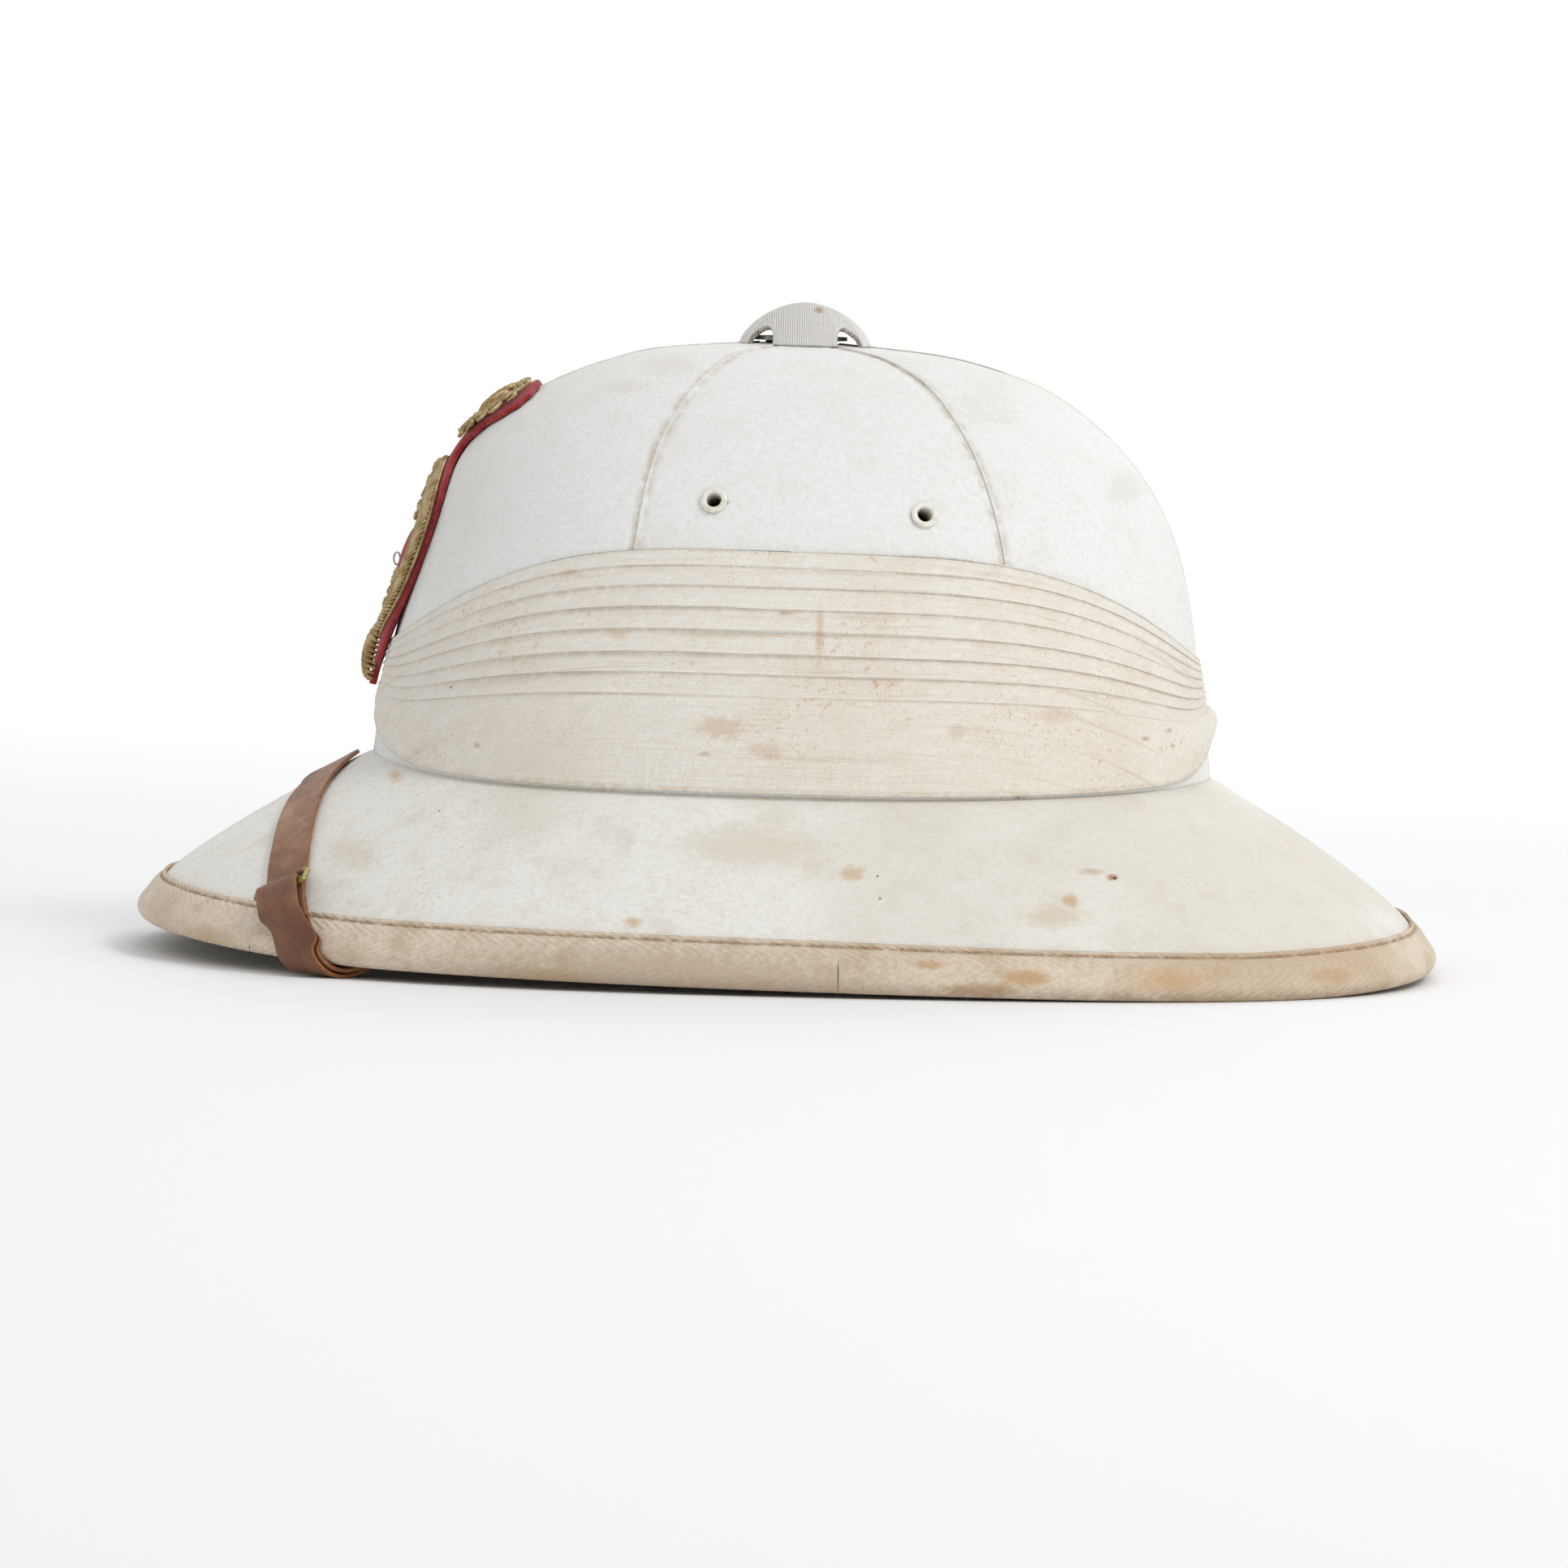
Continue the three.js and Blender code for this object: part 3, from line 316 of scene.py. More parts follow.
def arc_lengths(points, axis):
    """The distance along each row or column of a grid of points, from its start."""
    steps = np.linalg.norm(np.diff(points, axis=axis), axis=-1)
    start = np.zeros_like(np.take(steps, [0], axis=axis))
    return np.concatenate([start, np.cumsum(steps, axis=axis)], axis=axis)


def grid_piece(name, points, flat=None, closed=(False, False), marks=None, caps=False, flip=False):
    """A mesh of quads from rows and columns of points in millimetres.

    closed joins the last row or column to the first. flat gives the cloth's own flat coordinates, with one
    more row or column where it is closed. marks are named numbers kept at the points, and caps closes the
    first and last row with strips.
    """
    rows, cols = points.shape[:2]
    i, j = np.meshgrid(np.arange(rows - 1 + closed[0]), np.arange(cols - 1 + closed[1]), indexing="ij")
    i, j = i.ravel(), j.ravel()
    corners = [(i, j), (i, j + 1), (i + 1, j + 1), (i + 1, j)]
    if flip:
        corners.reverse()
    faces = np.stack([(a % rows) * cols + b % cols for a, b in corners], axis=1).tolist()
    loops = len(faces) * 4
    if caps:
        for first, way in ((0, 1), ((rows - 1) * cols, -1)):
            for k in range((cols - 1) // 2):
                strip = list(dict.fromkeys([k, k + 1, cols - 2 - k, cols - 1 - k]))
                faces.append([first + corner for corner in strip[:: way if flip else -way]])
    mesh = bpy.data.meshes.new(name)
    mesh.from_pydata((points.reshape(-1, 3) * METRE).tolist(), [], faces)
    if flat is None:
        along = arc_lengths(np.concatenate([points, points[:1]]) if closed[0] else points, 0)
        across = arc_lengths(np.concatenate([points, points[:, :1]], axis=1) if closed[1] else points, 1)
        along = np.concatenate([along, along[:, :1]], axis=1) if closed[1] else along
        across = np.concatenate([across, across[:1]]) if closed[0] else across
        flat = np.stack([along, across], axis=-1)
    layer = mesh.uv_layers.new(name="flat")
    values = np.zeros((len(mesh.loops), 2), np.float32)
    values[:loops] = np.stack([flat[a, b] for a, b in corners], axis=1).reshape(-1, 2) * METRE
    layer.data.foreach_set("uv", values.ravel())
    for mark, numbers in (marks or {}).items():
        attribute = mesh.attributes.new(mark, "FLOAT", "POINT")
        spread = np.broadcast_to(numbers, (rows, cols)).astype(np.float32)
        attribute.data.foreach_set("value", spread.ravel())
    mesh.shade_smooth()
    piece = bpy.data.objects.new(name, mesh)
    bpy.context.scene.collection.objects.link(piece)
    return piece


def finish_piece(piece, material, slot, *nodes):
    """Gives a piece its material, and puts it in place of the solids that it stands for."""
    piece.data.materials.clear()
    piece.data.materials.append(material)
    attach(piece, "root")
    if nodes:
        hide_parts(*nodes)
    return piece


def made_plain(piece):
    """Turns a piece and its modifiers into a plain mesh."""
    depsgraph = bpy.context.evaluated_depsgraph_get()
    mesh = bpy.data.meshes.new_from_object(piece.evaluated_get(depsgraph))
    piece.modifiers.clear()
    piece.data = mesh
    return piece


def thickened(piece, thickness):
    wall = piece.modifiers.new("wall", "SOLIDIFY")
    wall.thickness = thickness * METRE
    wall.offset = -1
    wall.use_even_offset = False
    return made_plain(piece)


def drilled(piece, drills):
    for drill in drills:
        cut = piece.modifiers.new("hole", "BOOLEAN")
        cut.operation = "DIFFERENCE"
        cut.solver = "EXACT"
        cut.object = drill
    return made_plain(piece)


# Shaders

class Graph:
    """Adds nodes to a material or a group and joins them."""

    def __init__(self, tree):
        self.tree = tree

    def feed(self, socket, value):
        if isinstance(value, bpy.types.NodeSocket):
            self.tree.links.new(value, socket)
        else:
            socket.default_value = value

    def node(self, kind, sockets=None, **settings):
        made = self.tree.nodes.new(kind)
        for name, value in settings.items():
            setattr(made, name, value)
        for name, value in (sockets or {}).items():
            self.feed(made.inputs[name], value)
        return made

    def maths(self, operation, first, second=0.0, third=0.0):
        sockets = {0: first, 1: second, 2: third}
        return self.node("ShaderNodeMath", sockets, operation=operation).outputs[0]

    def joined_vector(self, x, y, z=0.0):
        return self.node("ShaderNodeCombineXYZ", {0: x, 1: y, 2: z}).outputs[0]

    def bump(self, surface, height, strength, depth):
        """Relief on a surface, its depth in millimetres."""
        sockets = {"Height": height, "Strength": strength, "Distance": depth * METRE}
        self.feed(surface.inputs["Normal"], self.node("ShaderNodeBump", sockets).outputs[0])

    def mark(self, name):
        return self.node("ShaderNodeAttribute", attribute_name=name).outputs["Fac"]

    def vector(self, operation, first, second=(0, 0, 0)):
        made = self.node("ShaderNodeVectorMath", {0: first, 1: second}, operation=operation)
        return made.outputs["Value" if operation in ("LENGTH", "DISTANCE") else "Vector"]

    def mix(self, factor, first, second, blend="MIX"):
        sockets = {0: factor, 6: first, 7: second}
        return self.node("ShaderNodeMix", sockets, data_type="RGBA", blend_type=blend).outputs[2]

    def ramp(self, value, low, high, to_low=0.0, to_high=1.0):
        sockets = {"Value": value, "From Min": low, "From Max": high, "To Min": to_low, "To Max": to_high}
        return self.node("ShaderNodeMapRange", sockets, interpolation_type="SMOOTHSTEP").outputs[0]

    def noise(self, vector, scale, detail=3.0, roughness=0.55):
        sockets = {"Vector": vector, "Scale": scale, "Detail": detail, "Roughness": roughness}
        return self.node("ShaderNodeTexNoise", sockets).outputs["Fac"]

    def group(self, tree, sockets):
        made = self.tree.nodes.new("ShaderNodeGroup")
        made.node_tree = tree
        for name, value in sockets.items():
            self.feed(made.inputs[name], value)
        return made.outputs


def shader_group(name, inputs, outputs):
    """An empty node group with named sockets, and its graph, input sockets and output node."""
    tree = bpy.data.node_groups.new(name, "ShaderNodeTree")
    for socket, kind in inputs.items():
        tree.interface.new_socket(socket, in_out="INPUT", socket_type=kind)
    for socket, kind in outputs.items():
        tree.interface.new_socket(socket, in_out="OUTPUT", socket_type=kind)
    return tree, Graph(tree), tree.nodes.new("NodeGroupInput").outputs, tree.nodes.new("NodeGroupOutput")


VECTOR, NUMBER = "NodeSocketVector", "NodeSocketFloat"


def weave_group():
    """Woven threads: Twill 0 is a plain weave and 1 has slanted ridges. Thread is the pitch in metres."""
    tree, g, inputs, output = shader_group(
        "woven_threads",
        {"Flat": VECTOR, "Thread": NUMBER, "Twill": NUMBER, "Unevenness": NUMBER},
        {"Height": NUMBER, "Shade": NUMBER},
    )
    wander = g.noise(inputs["Flat"], 90.0, 2.0)
    push = g.maths("MULTIPLY", g.maths("SUBTRACT", wander, 0.5), inputs["Unevenness"])
    split = g.node("ShaderNodeSeparateXYZ", {0: inputs["Flat"]})
    u = g.maths("ADD", g.maths("DIVIDE", split.outputs[0], inputs["Thread"]), push)
    v = g.maths("ADD", g.maths("DIVIDE", split.outputs[1], inputs["Thread"]), push)
    turn = 2 * math.pi
    wave_u = g.maths("SINE", g.maths("MULTIPLY", u, turn / 2))
    wave_v = g.maths("SINE", g.maths("MULTIPLY", v, turn / 2))
    plain = g.maths("MULTIPLY", wave_u, wave_v)
    ridge = g.maths("SINE", g.maths("MULTIPLY", g.maths("ADD", u, v), turn / 2))
    both = g.maths("MULTIPLY", g.maths("SUBTRACT", ridge, plain), inputs["Twill"])
    height = g.maths("MULTIPLY_ADD", g.maths("ADD", plain, both), 0.5, 0.5)
    threads = []
    for fine_u, fine_v in ((0.6, 0.03), (0.03, 0.6)):
        stretched = g.joined_vector(g.maths("MULTIPLY", u, fine_u), g.maths("MULTIPLY", v, fine_v))
        threads.append(g.noise(stretched, 1.0, 2.0))
    slub = g.maths("ADD", *threads)
    g.feed(output.inputs["Height"], g.maths("MULTIPLY_ADD", slub, 0.6, height))
    g.feed(output.inputs["Shade"], g.ramp(slub, 0.7, 1.3))
    return tree


def spot_group():
    """A ragged patch round a centre, with its own radii."""
    tree, g, inputs, output = shader_group(
        "patch", {"Position": VECTOR, "Centre": VECTOR, "Radii": VECTOR, "Rag": NUMBER}, {"Mask": NUMBER}
    )
    offset = g.vector("DIVIDE", g.vector("SUBTRACT", inputs["Position"], inputs["Centre"]), inputs["Radii"])
    away = g.vector("LENGTH", offset)
    rag = g.maths("SUBTRACT", g.noise(inputs["Position"], 420.0, 5.0, 0.65), 0.5)
    torn = g.maths("MULTIPLY_ADD", rag, inputs["Rag"], away)
    g.feed(output.inputs["Mask"], g.ramp(torn, 1.0, 0.25))
    return tree


def foxing_group():
    """Rust-brown foxing: Spots come in clusters, and Cloud is the paler soiling round them."""
    tree, g, inputs, output = shader_group(
        "foxing", {"Position": VECTOR, "Amount": NUMBER}, {"Spots": NUMBER, "Cloud": NUMBER}
    )
    place = inputs["Position"]
    cluster = g.ramp(g.noise(place, 36.0, 3.0), 0.48, 0.66)
    wide = g.ramp(g.noise(place, 520.0, 2.0, 0.5), 0.64, 0.71)
    small = g.ramp(g.noise(place, 1150.0, 2.0, 0.5), 0.61, 0.69)
    spread = g.maths("MULTIPLY_ADD", cluster, 0.8, 0.2)
    both = g.maths("MAXIMUM", g.maths("MULTIPLY", wide, cluster), g.maths("MULTIPLY", small, spread))
    cloud = g.maths("MULTIPLY", g.ramp(g.noise(place, 130.0, 5.0, 0.6), 0.46, 0.74), cluster)
    g.feed(output.inputs["Spots"], g.maths("MULTIPLY", both, inputs["Amount"]))
    g.feed(output.inputs["Cloud"], g.maths("MULTIPLY", cloud, inputs["Amount"]))
    return tree


WEAVE = weave_group()
SPOT = spot_group()
FOXING = foxing_group()


def new_material(name):
    material = bpy.data.materials.new(name)
    material.use_nodes = True
    material.node_tree.nodes.clear()
    g = Graph(material.node_tree)
    surface = g.node("ShaderNodeBsdfPrincipled")
    g.node("ShaderNodeOutputMaterial", {"Surface": surface.outputs[0]})
    place = g.node("ShaderNodeTexCoord").outputs["Object"]
    flat = g.node("ShaderNodeUVMap", uv_map="flat").outputs[0]
    return material, g, surface, place, flat


def srgb(red, green, blue):
    """A colour as a picture holds it, from 0 to 255, turned into light."""
    values = [value / 255 for value in (red, green, blue)]
    return tuple(v / 12.92 if v <= 0.04045 else ((v + 0.055) / 1.055) ** 2.4 for v in values) + (1.0,)


def cloth(
    name,
    base,
    soil_and_shade,
    thread,
    twill=0.0,
    depth=0.3,
    soiling=0.5,
    fox=0.5,
    slub=0.0,
    ribs=0.0,
    patches=(),
    stained=1.0,
):
    """A cotton cloth with a weave, soiled areas, foxing and its own stains.

    A piece's marks add a painted highlight along a fold's edge, painted shade on the cloth below it, and
    soiling with painted shade along stitch grooves and edges.
    """
    material, g, surface, place, flat = new_material(name)
    weave = g.group(WEAVE, {"Flat": flat, "Thread": thread * METRE, "Twill": twill, "Unevenness": 0.25})
    foxing = g.group(FOXING, {"Position": place, "Amount": fox})
    colour = g.mix(g.ramp(g.noise(place, 11.0, 3.0), 0.42, 0.66, 0.0, soiling), base, soil_and_shade)
    colour = g.mix(g.ramp(g.noise(place, 85.0, 6.0, 0.7), 0.48, 0.72, 0.0, soiling), colour, soil_and_shade)
    mottle = g.noise(place, 700.0, 5.0, 0.7)
    colour = g.mix(g.ramp(mottle, 0.4, 0.72, 0.0, 0.45), colour, soil_and_shade)
    if slub:
        lengthways = g.noise(g.vector("MULTIPLY", flat, (110.0, 1700.0, 1.0)), 1.0, 3.0, 0.6)
        crossways = g.noise(g.vector("MULTIPLY", flat, (1500.0, 120.0, 1.0)), 1.0, 3.0, 0.6)
        threads = g.ramp(g.maths("ADD", lengthways, crossways), 0.8, 1.25)
        colour = g.mix(g.maths("MULTIPLY", threads, slub), colour, soil_and_shade)
    # Painted shade in the gaps between the weave's threads.
    gaps = g.maths("MULTIPLY", g.maths("SUBTRACT", 1.0, weave["Height"]), 0.3)
    colour = g.mix(gaps, colour, soil_and_shade, "MULTIPLY")
    colour = g.mix(g.maths("MULTIPLY", foxing["Cloud"], 0.34), colour, srgb(222, 196, 160))
    colour = g.mix(g.maths("MULTIPLY", foxing["Spots"], 0.62), colour, srgb(196, 146, 92))
    ragged = g.ramp(g.noise(place, 300.0, 4.0, 0.6), 0.3, 0.62)
    # Painted highlight on fold edges, painted shade below folds, and soiling with painted shade along stitch
    # grooves and edges.
    colour = g.mix(g.maths("MULTIPLY", g.mark("painted_fold_highlight"), 0.75), colour, srgb(246, 240, 230))
    for mark, strength, tint in (("painted_hollow_shade", 0.6, srgb(184, 158, 126)), ("soil_and_shade", 0.85, srgb(142, 108, 74))):
        share = g.maths("MULTIPLY", g.maths("MULTIPLY", g.mark(mark), strength), ragged)
        colour = g.mix(share, colour, tint)
    for centre, radii, stain, strength, rag in patches:
        sockets = {
            "Position": place,
            "Centre": tuple(c * METRE for c in centre),
            "Radii": tuple(r * METRE for r in radii),
            "Rag": rag,
        }
        mask = g.group(SPOT, sockets)["Mask"]
        colour = g.mix(g.maths("MULTIPLY", mask, strength * stained), colour, stain)
    rise = g.maths("MULTIPLY_ADD", mottle, 0.8, g.maths("MULTIPLY", weave["Height"], 0.5))
    if slub:
        rise = g.maths("MULTIPLY_ADD", threads, 0.8, rise)
        crease = g.noise(g.vector("MULTIPLY", flat, (9.0, 330.0, 1.0)), 1.0, 5.0, 0.65)
        rise = g.maths("MULTIPLY_ADD", crease, 5.0, rise)
        # Painted shade in the troughs of the creases.
        colour = g.mix(g.ramp(crease, 0.44, 0.3, 0.0, 0.35), colour, srgb(190, 168, 138))
    if ribs:
        across = g.node("ShaderNodeSeparateXYZ", {0: place}).outputs[0]
        rib = g.maths("SINE", g.maths("MULTIPLY", across, 2 * math.pi / (ribs * METRE)))
        # Painted shade in the grooves between the ribs.
        colour = g.mix(g.ramp(rib, 0.1, -1.0, 0.0, 0.22), colour, srgb(206, 196, 176))
        rise = g.maths("MULTIPLY_ADD", rib, 1.1, rise)
    g.feed(surface.inputs["Base Color"], colour)
    surface.inputs["Roughness"].default_value = 0.92
    surface.inputs["Specular IOR Level"].default_value = 0.15
    surface.inputs["Sheen Weight"].default_value = 0.08
    surface.inputs["Sheen Roughness"].default_value = 0.6
    g.bump(surface, rise, 0.7, depth)
    return material


def leather_material():
    material, g, surface, place, flat = new_material("tan_hide")
    grain = g.noise(place, 900.0, 6.0, 0.65)
    cells = g.node("ShaderNodeTexVoronoi", {"Vector": place, "Scale": 1400.0}, feature="DISTANCE_TO_EDGE")
    streak_place = g.vector("MULTIPLY", flat, (40.0, 260.0, 1.0))
    streaks = g.noise(streak_place, 1.0, 4.0, 0.6)
    cloudy = g.noise(place, 60.0, 4.0, 0.6)
    colour = g.mix(g.ramp(cloudy, 0.35, 0.68), srgb(122, 84, 60), srgb(176, 134, 102))
    colour = g.mix(g.ramp(streaks, 0.42, 0.7, 0.0, 0.5), colour, srgb(140, 84, 50))
    low = g.ramp(g.node("ShaderNodeSeparateXYZ", {0: place}).outputs[2], 0.026, 0.014)
    colour = g.mix(g.maths("MULTIPLY", low, 0.7), colour, srgb(96, 54, 28))
    edge = g.mark("edge")
    colour = g.mix(g.ramp(edge, 0.55, 0.95), colour, srgb(150, 92, 46))
    worn = g.maths("MULTIPLY", g.ramp(edge, 0.4, 0.8), g.ramp(grain, 0.45, 0.65))
    colour = g.mix(g.maths("MULTIPLY", worn, 0.45), colour, srgb(84, 50, 30))
    scratch = g.ramp(g.noise(g.vector("MULTIPLY", flat, (300.0, 60.0, 1.0)), 3.0, 6.0, 0.75), 0.62, 0.72)
    colour = g.mix(g.maths("MULTIPLY", scratch, 0.35), colour, srgb(196, 152, 112))
    g.feed(surface.inputs["Base Color"], colour)
    g.feed(surface.inputs["Roughness"], g.ramp(grain, 0.3, 0.7, 0.42, 0.66))
    pores = g.ramp(cells.outputs["Distance"], 0.0, 0.12)
    g.bump(surface, g.maths("MULTIPLY_ADD", pores, 0.5, grain), 0.5, 0.18)
    return material


def metal_material(name, bright, dull, roughness):
    material, g, surface, place, flat = new_material(name)
    cloudy = g.noise(place, 220.0, 5.0, 0.65)
    fine = g.noise(place, 1500.0, 3.0)
    colour = g.mix(g.ramp(cloudy, 0.38, 0.66), bright, dull)
    g.feed(surface.inputs["Base Color"], colour)
    g.feed(surface.inputs["Metallic"], g.ramp(cloudy, 0.75, 0.45, 0.6, 1.0))
    uneven = g.maths("ADD", cloudy, fine)
    g.feed(surface.inputs["Roughness"], g.ramp(uneven, 0.7, 1.3, roughness, roughness + 0.25))
    g.bump(surface, uneven, 0.25, 0.1)
    return material


def bullion_material():
    """Wound gilt wire: the turns of the wire run across the piece's own flat coordinates."""
    material, g, surface, place, flat = new_material("bullion_wire")
    split = g.node("ShaderNodeSeparateXYZ", {0: flat})
    wire = g.maths("SINE", g.maths("MULTIPLY", split.outputs[0], 2 * math.pi / (0.42 * METRE)))
    height = g.maths("MULTIPLY_ADD", wire, 0.5, 0.5)
    cloudy = g.noise(place, 260.0, 4.0, 0.6)
    colour = g.mix(g.ramp(cloudy, 0.36, 0.64), srgb(238, 216, 166), srgb(190, 156, 102))
    # Painted shade darkens the gaps between the wire's turns.
    colour = g.mix(g.ramp(height, 0.55, 0.05, 0.0, 0.75), colour, srgb(84, 58, 28))
    g.feed(surface.inputs["Base Color"], colour)
    surface.inputs["Metallic"].default_value = 0.75
    g.feed(surface.inputs["Roughness"], g.ramp(cloudy, 0.3, 0.7, 0.34, 0.55))
    g.bump(surface, height, 0.8, 0.2)
    return material


def felt_material():
    material, g, surface, place, flat = new_material("red_felt")
    fibre = g.noise(place, 1300.0, 6.0, 0.7)
    cloudy = g.noise(place, 160.0, 3.0)
    colour = g.mix(g.ramp(fibre, 0.35, 0.68), srgb(140, 30, 34), srgb(196, 60, 62))
    colour = g.mix(g.ramp(cloudy, 0.45, 0.75, 0.0, 0.4), colour, srgb(120, 26, 34))
    g.feed(surface.inputs["Base Color"], colour)
    surface.inputs["Roughness"].default_value = 0.95
    surface.inputs["Sheen Weight"].default_value = 0.3
    surface.inputs["Specular IOR Level"].default_value = 0.1
    g.bump(surface, fibre, 0.9, 0.35)
    return material


def enamel_material():
    material, g, surface, place, flat = new_material("cream_enamel")
    cloudy = g.noise(place, 500.0, 4.0, 0.6)
    colour = g.mix(g.ramp(cloudy, 0.45, 0.7), srgb(238, 235, 224), srgb(218, 212, 194))
    g.feed(surface.inputs["Base Color"], colour)
    g.feed(surface.inputs["Roughness"], g.ramp(cloudy, 0.3, 0.7, 0.32, 0.5))
    g.bump(surface, cloudy, 0.2, 0.1)
    return material


def pith_material():
    material, g, surface, place, flat = new_material("raw_pith")
    grain = g.noise(g.vector("MULTIPLY", place, (1.0, 1.0, 4.0)), 180.0, 6.0, 0.7)
    cells = g.node("ShaderNodeTexVoronoi", {"Vector": place, "Scale": 320.0}).outputs["Distance"]
    colour = g.mix(g.ramp(grain, 0.35, 0.68), srgb(206, 184, 142), srgb(166, 138, 96))
    g.feed(surface.inputs["Base Color"], colour)
    surface.inputs["Roughness"].default_value = 0.9
    g.bump(surface, g.maths("ADD", grain, cells), 0.5, 0.5)
    return material


def thread_material():
    material, g, surface, place, flat = new_material("waxed_thread")
    twist = g.noise(place, 2200.0, 2.0)
    colour = g.mix(g.ramp(twist, 0.35, 0.65), srgb(150, 124, 98), srgb(196, 174, 146))
    g.feed(surface.inputs["Base Color"], colour)
    surface.inputs["Roughness"].default_value = 0.85
    g.bump(surface, twist, 0.4, 0.1)
    return material


TAN, RUST, DARK = srgb(206, 172, 128), srgb(178, 118, 66), srgb(72, 54, 42)
NEAR_CROWN, NEAR_BRIM, NEAR_TAPE = -92, -108, -128

CROWN_STAINS = [
    ((-33, -30, 157), (11, 60, 3.5), TAN, 0.35, 1.4),
    ((-45, -40, 152), (10, 60, 3), TAN, 0.3, 1.4),
    ((-73, -20, 141), (4, 60, 3), TAN, 0.3, 1.2),
    ((87, -50, 128), (9, 60, 7), srgb(206, 196, 176), 0.6, 1.0),
    ((50, -70, 150), (14, 60, 9), srgb(214, 204, 186), 0.6, 1.2),
    ((5, 0, 172.5), (2, 30, 1.2), RUST, 0.7, 0.6),
]

BRIM_STAINS = [
    ((83.5, NEAR_BRIM, 30.3), (2.2, 60, 1.2), RUST, 0.9, 1.2),
    ((84, NEAR_BRIM, 30.0), (0.9, 60, 0.5), DARK, 0.9, 0.8),
    ((78, NEAR_BRIM, 31.5), (4.5, 60, 1.2), RUST, 0.4, 1.6),
    ((72.6, NEAR_BRIM, 24.7), (3.2, 60, 2.2), TAN, 0.8, 1.4),
    ((-39, NEAR_BRIM, 17.7), (3.4, 60, 1.8), TAN, 0.7, 1.3),
    ((16.5, NEAR_BRIM, 30.6), (4.5, 60, 2.4), TAN, 0.65, 1.4),
    ((68, NEAR_BRIM, 20.9), (12, 60, 4), srgb(216, 200, 176), 0.7, 1.3),
    ((-10, NEAR_BRIM, 36), (26, 60, 8), srgb(220, 208, 190), 0.6, 1.2),
    ((23.7, NEAR_BRIM, 24.7), (0.6, 60, 0.5), RUST, 0.9, 0.5),
    ((23, NEAR_BRIM, 30), (0.4, 60, 0.4), DARK, 0.9, 0.5),
    ((-112, -60, 30), (12, 60, 6), srgb(216, 202, 182), 0.6, 1.3),
    ((-103, -20, 48.5), (3.5, 60, 2), TAN, 0.8, 1.2),
    ((-90.5, NEAR_BRIM, 41.7), (0.5, 70, 0.5), DARK, 0.9, 0.5),
]

TAPE_PATCHES = [
    # The first entry darkens the tape's front over a wide patch.
    ((-30, NEAR_TAPE, 4), (85, 60, 12), srgb(178, 154, 130), 0.6, 0.8),
    ((61, NEAR_TAPE, 6.2), (9, 60, 3), srgb(196, 150, 98), 0.75, 1.0),
    ((50, NEAR_TAPE, 3), (14, 60, 2.6), srgb(170, 140, 104), 0.7, 1.0),
    ((98, NEAR_TAPE, 6), (12, 60, 4), srgb(206, 164, 116), 0.6, 1.1),
    ((141, NEAR_TAPE, 6), (10, 80, 3), srgb(196, 160, 116), 0.6, 1.1),
    ((37, NEAR_TAPE, 9), (5, 60, 1.5), srgb(196, 156, 108), 0.7, 1.2),
    ((-60, NEAR_TAPE, 4), (16, 60, 2.4), srgb(190, 160, 122), 0.5, 1.2),
    ((-150, -60, 8), (14, 90, 4), srgb(200, 168, 130), 0.5, 1.2),
    ((13.4, NEAR_TAPE, 6), (0.28, 60, 5.5), DARK, 0.85, 0.35),
    ((-138.2, -60, 6), (0.3, 70, 2.2), DARK, 0.8, 0.5),
]

BAND_STAINS = [
    ((6.9, NEAR_CROWN, 90), (1.6, 60, 10), srgb(206, 164, 112), 0.75, 1.3),
    ((-1.6, NEAR_CROWN, 95.5), (2.6, 60, 0.8), RUST, 0.7, 1.4),
    ((-17.6, NEAR_CROWN, 66), (10, 60, 4), srgb(208, 168, 120), 0.7, 1.5),
    ((-7, NEAR_CROWN, 60.3), (7, 60, 2.6), srgb(208, 168, 120), 0.6, 1.5),
    ((-22, NEAR_CROWN, 59), (2.6, 60, 1), srgb(150, 104, 60), 0.6, 1.3),
    ((-81.3, -60, 58.6), (1.1, 60, 1.1), RUST, 0.85, 1.0),
    ((-45.4, NEAR_CROWN, 89), (4, 60, 2.2), TAN, 0.6, 1.4),
    ((-58, NEAR_CROWN, 104), (5, 60, 1.6), TAN, 0.55, 1.4),
    ((43, NEAR_CROWN, 65.9), (4, 60, 2.4), RUST, 0.4, 1.5),
    ((68.5, NEAR_CROWN, 70), (6, 60, 3), TAN, 0.6, 1.5),
    ((92.7, -50, 63.6), (1.5, 60, 0.9), RUST, 0.8, 1.0),
    ((99, -45, 65.4), (1.2, 60, 0.9), RUST, 0.8, 1.0),
    ((100, -45, 61.5), (1.0, 60, 0.8), RUST, 0.7, 1.0),
    ((-88.8, -60, 72.9), (0.7, 50, 0.5), DARK, 0.95, 0.5),
    ((-103.6, -20, 54.8), (0.4, 40, 0.5), DARK, 0.9, 0.5),
]

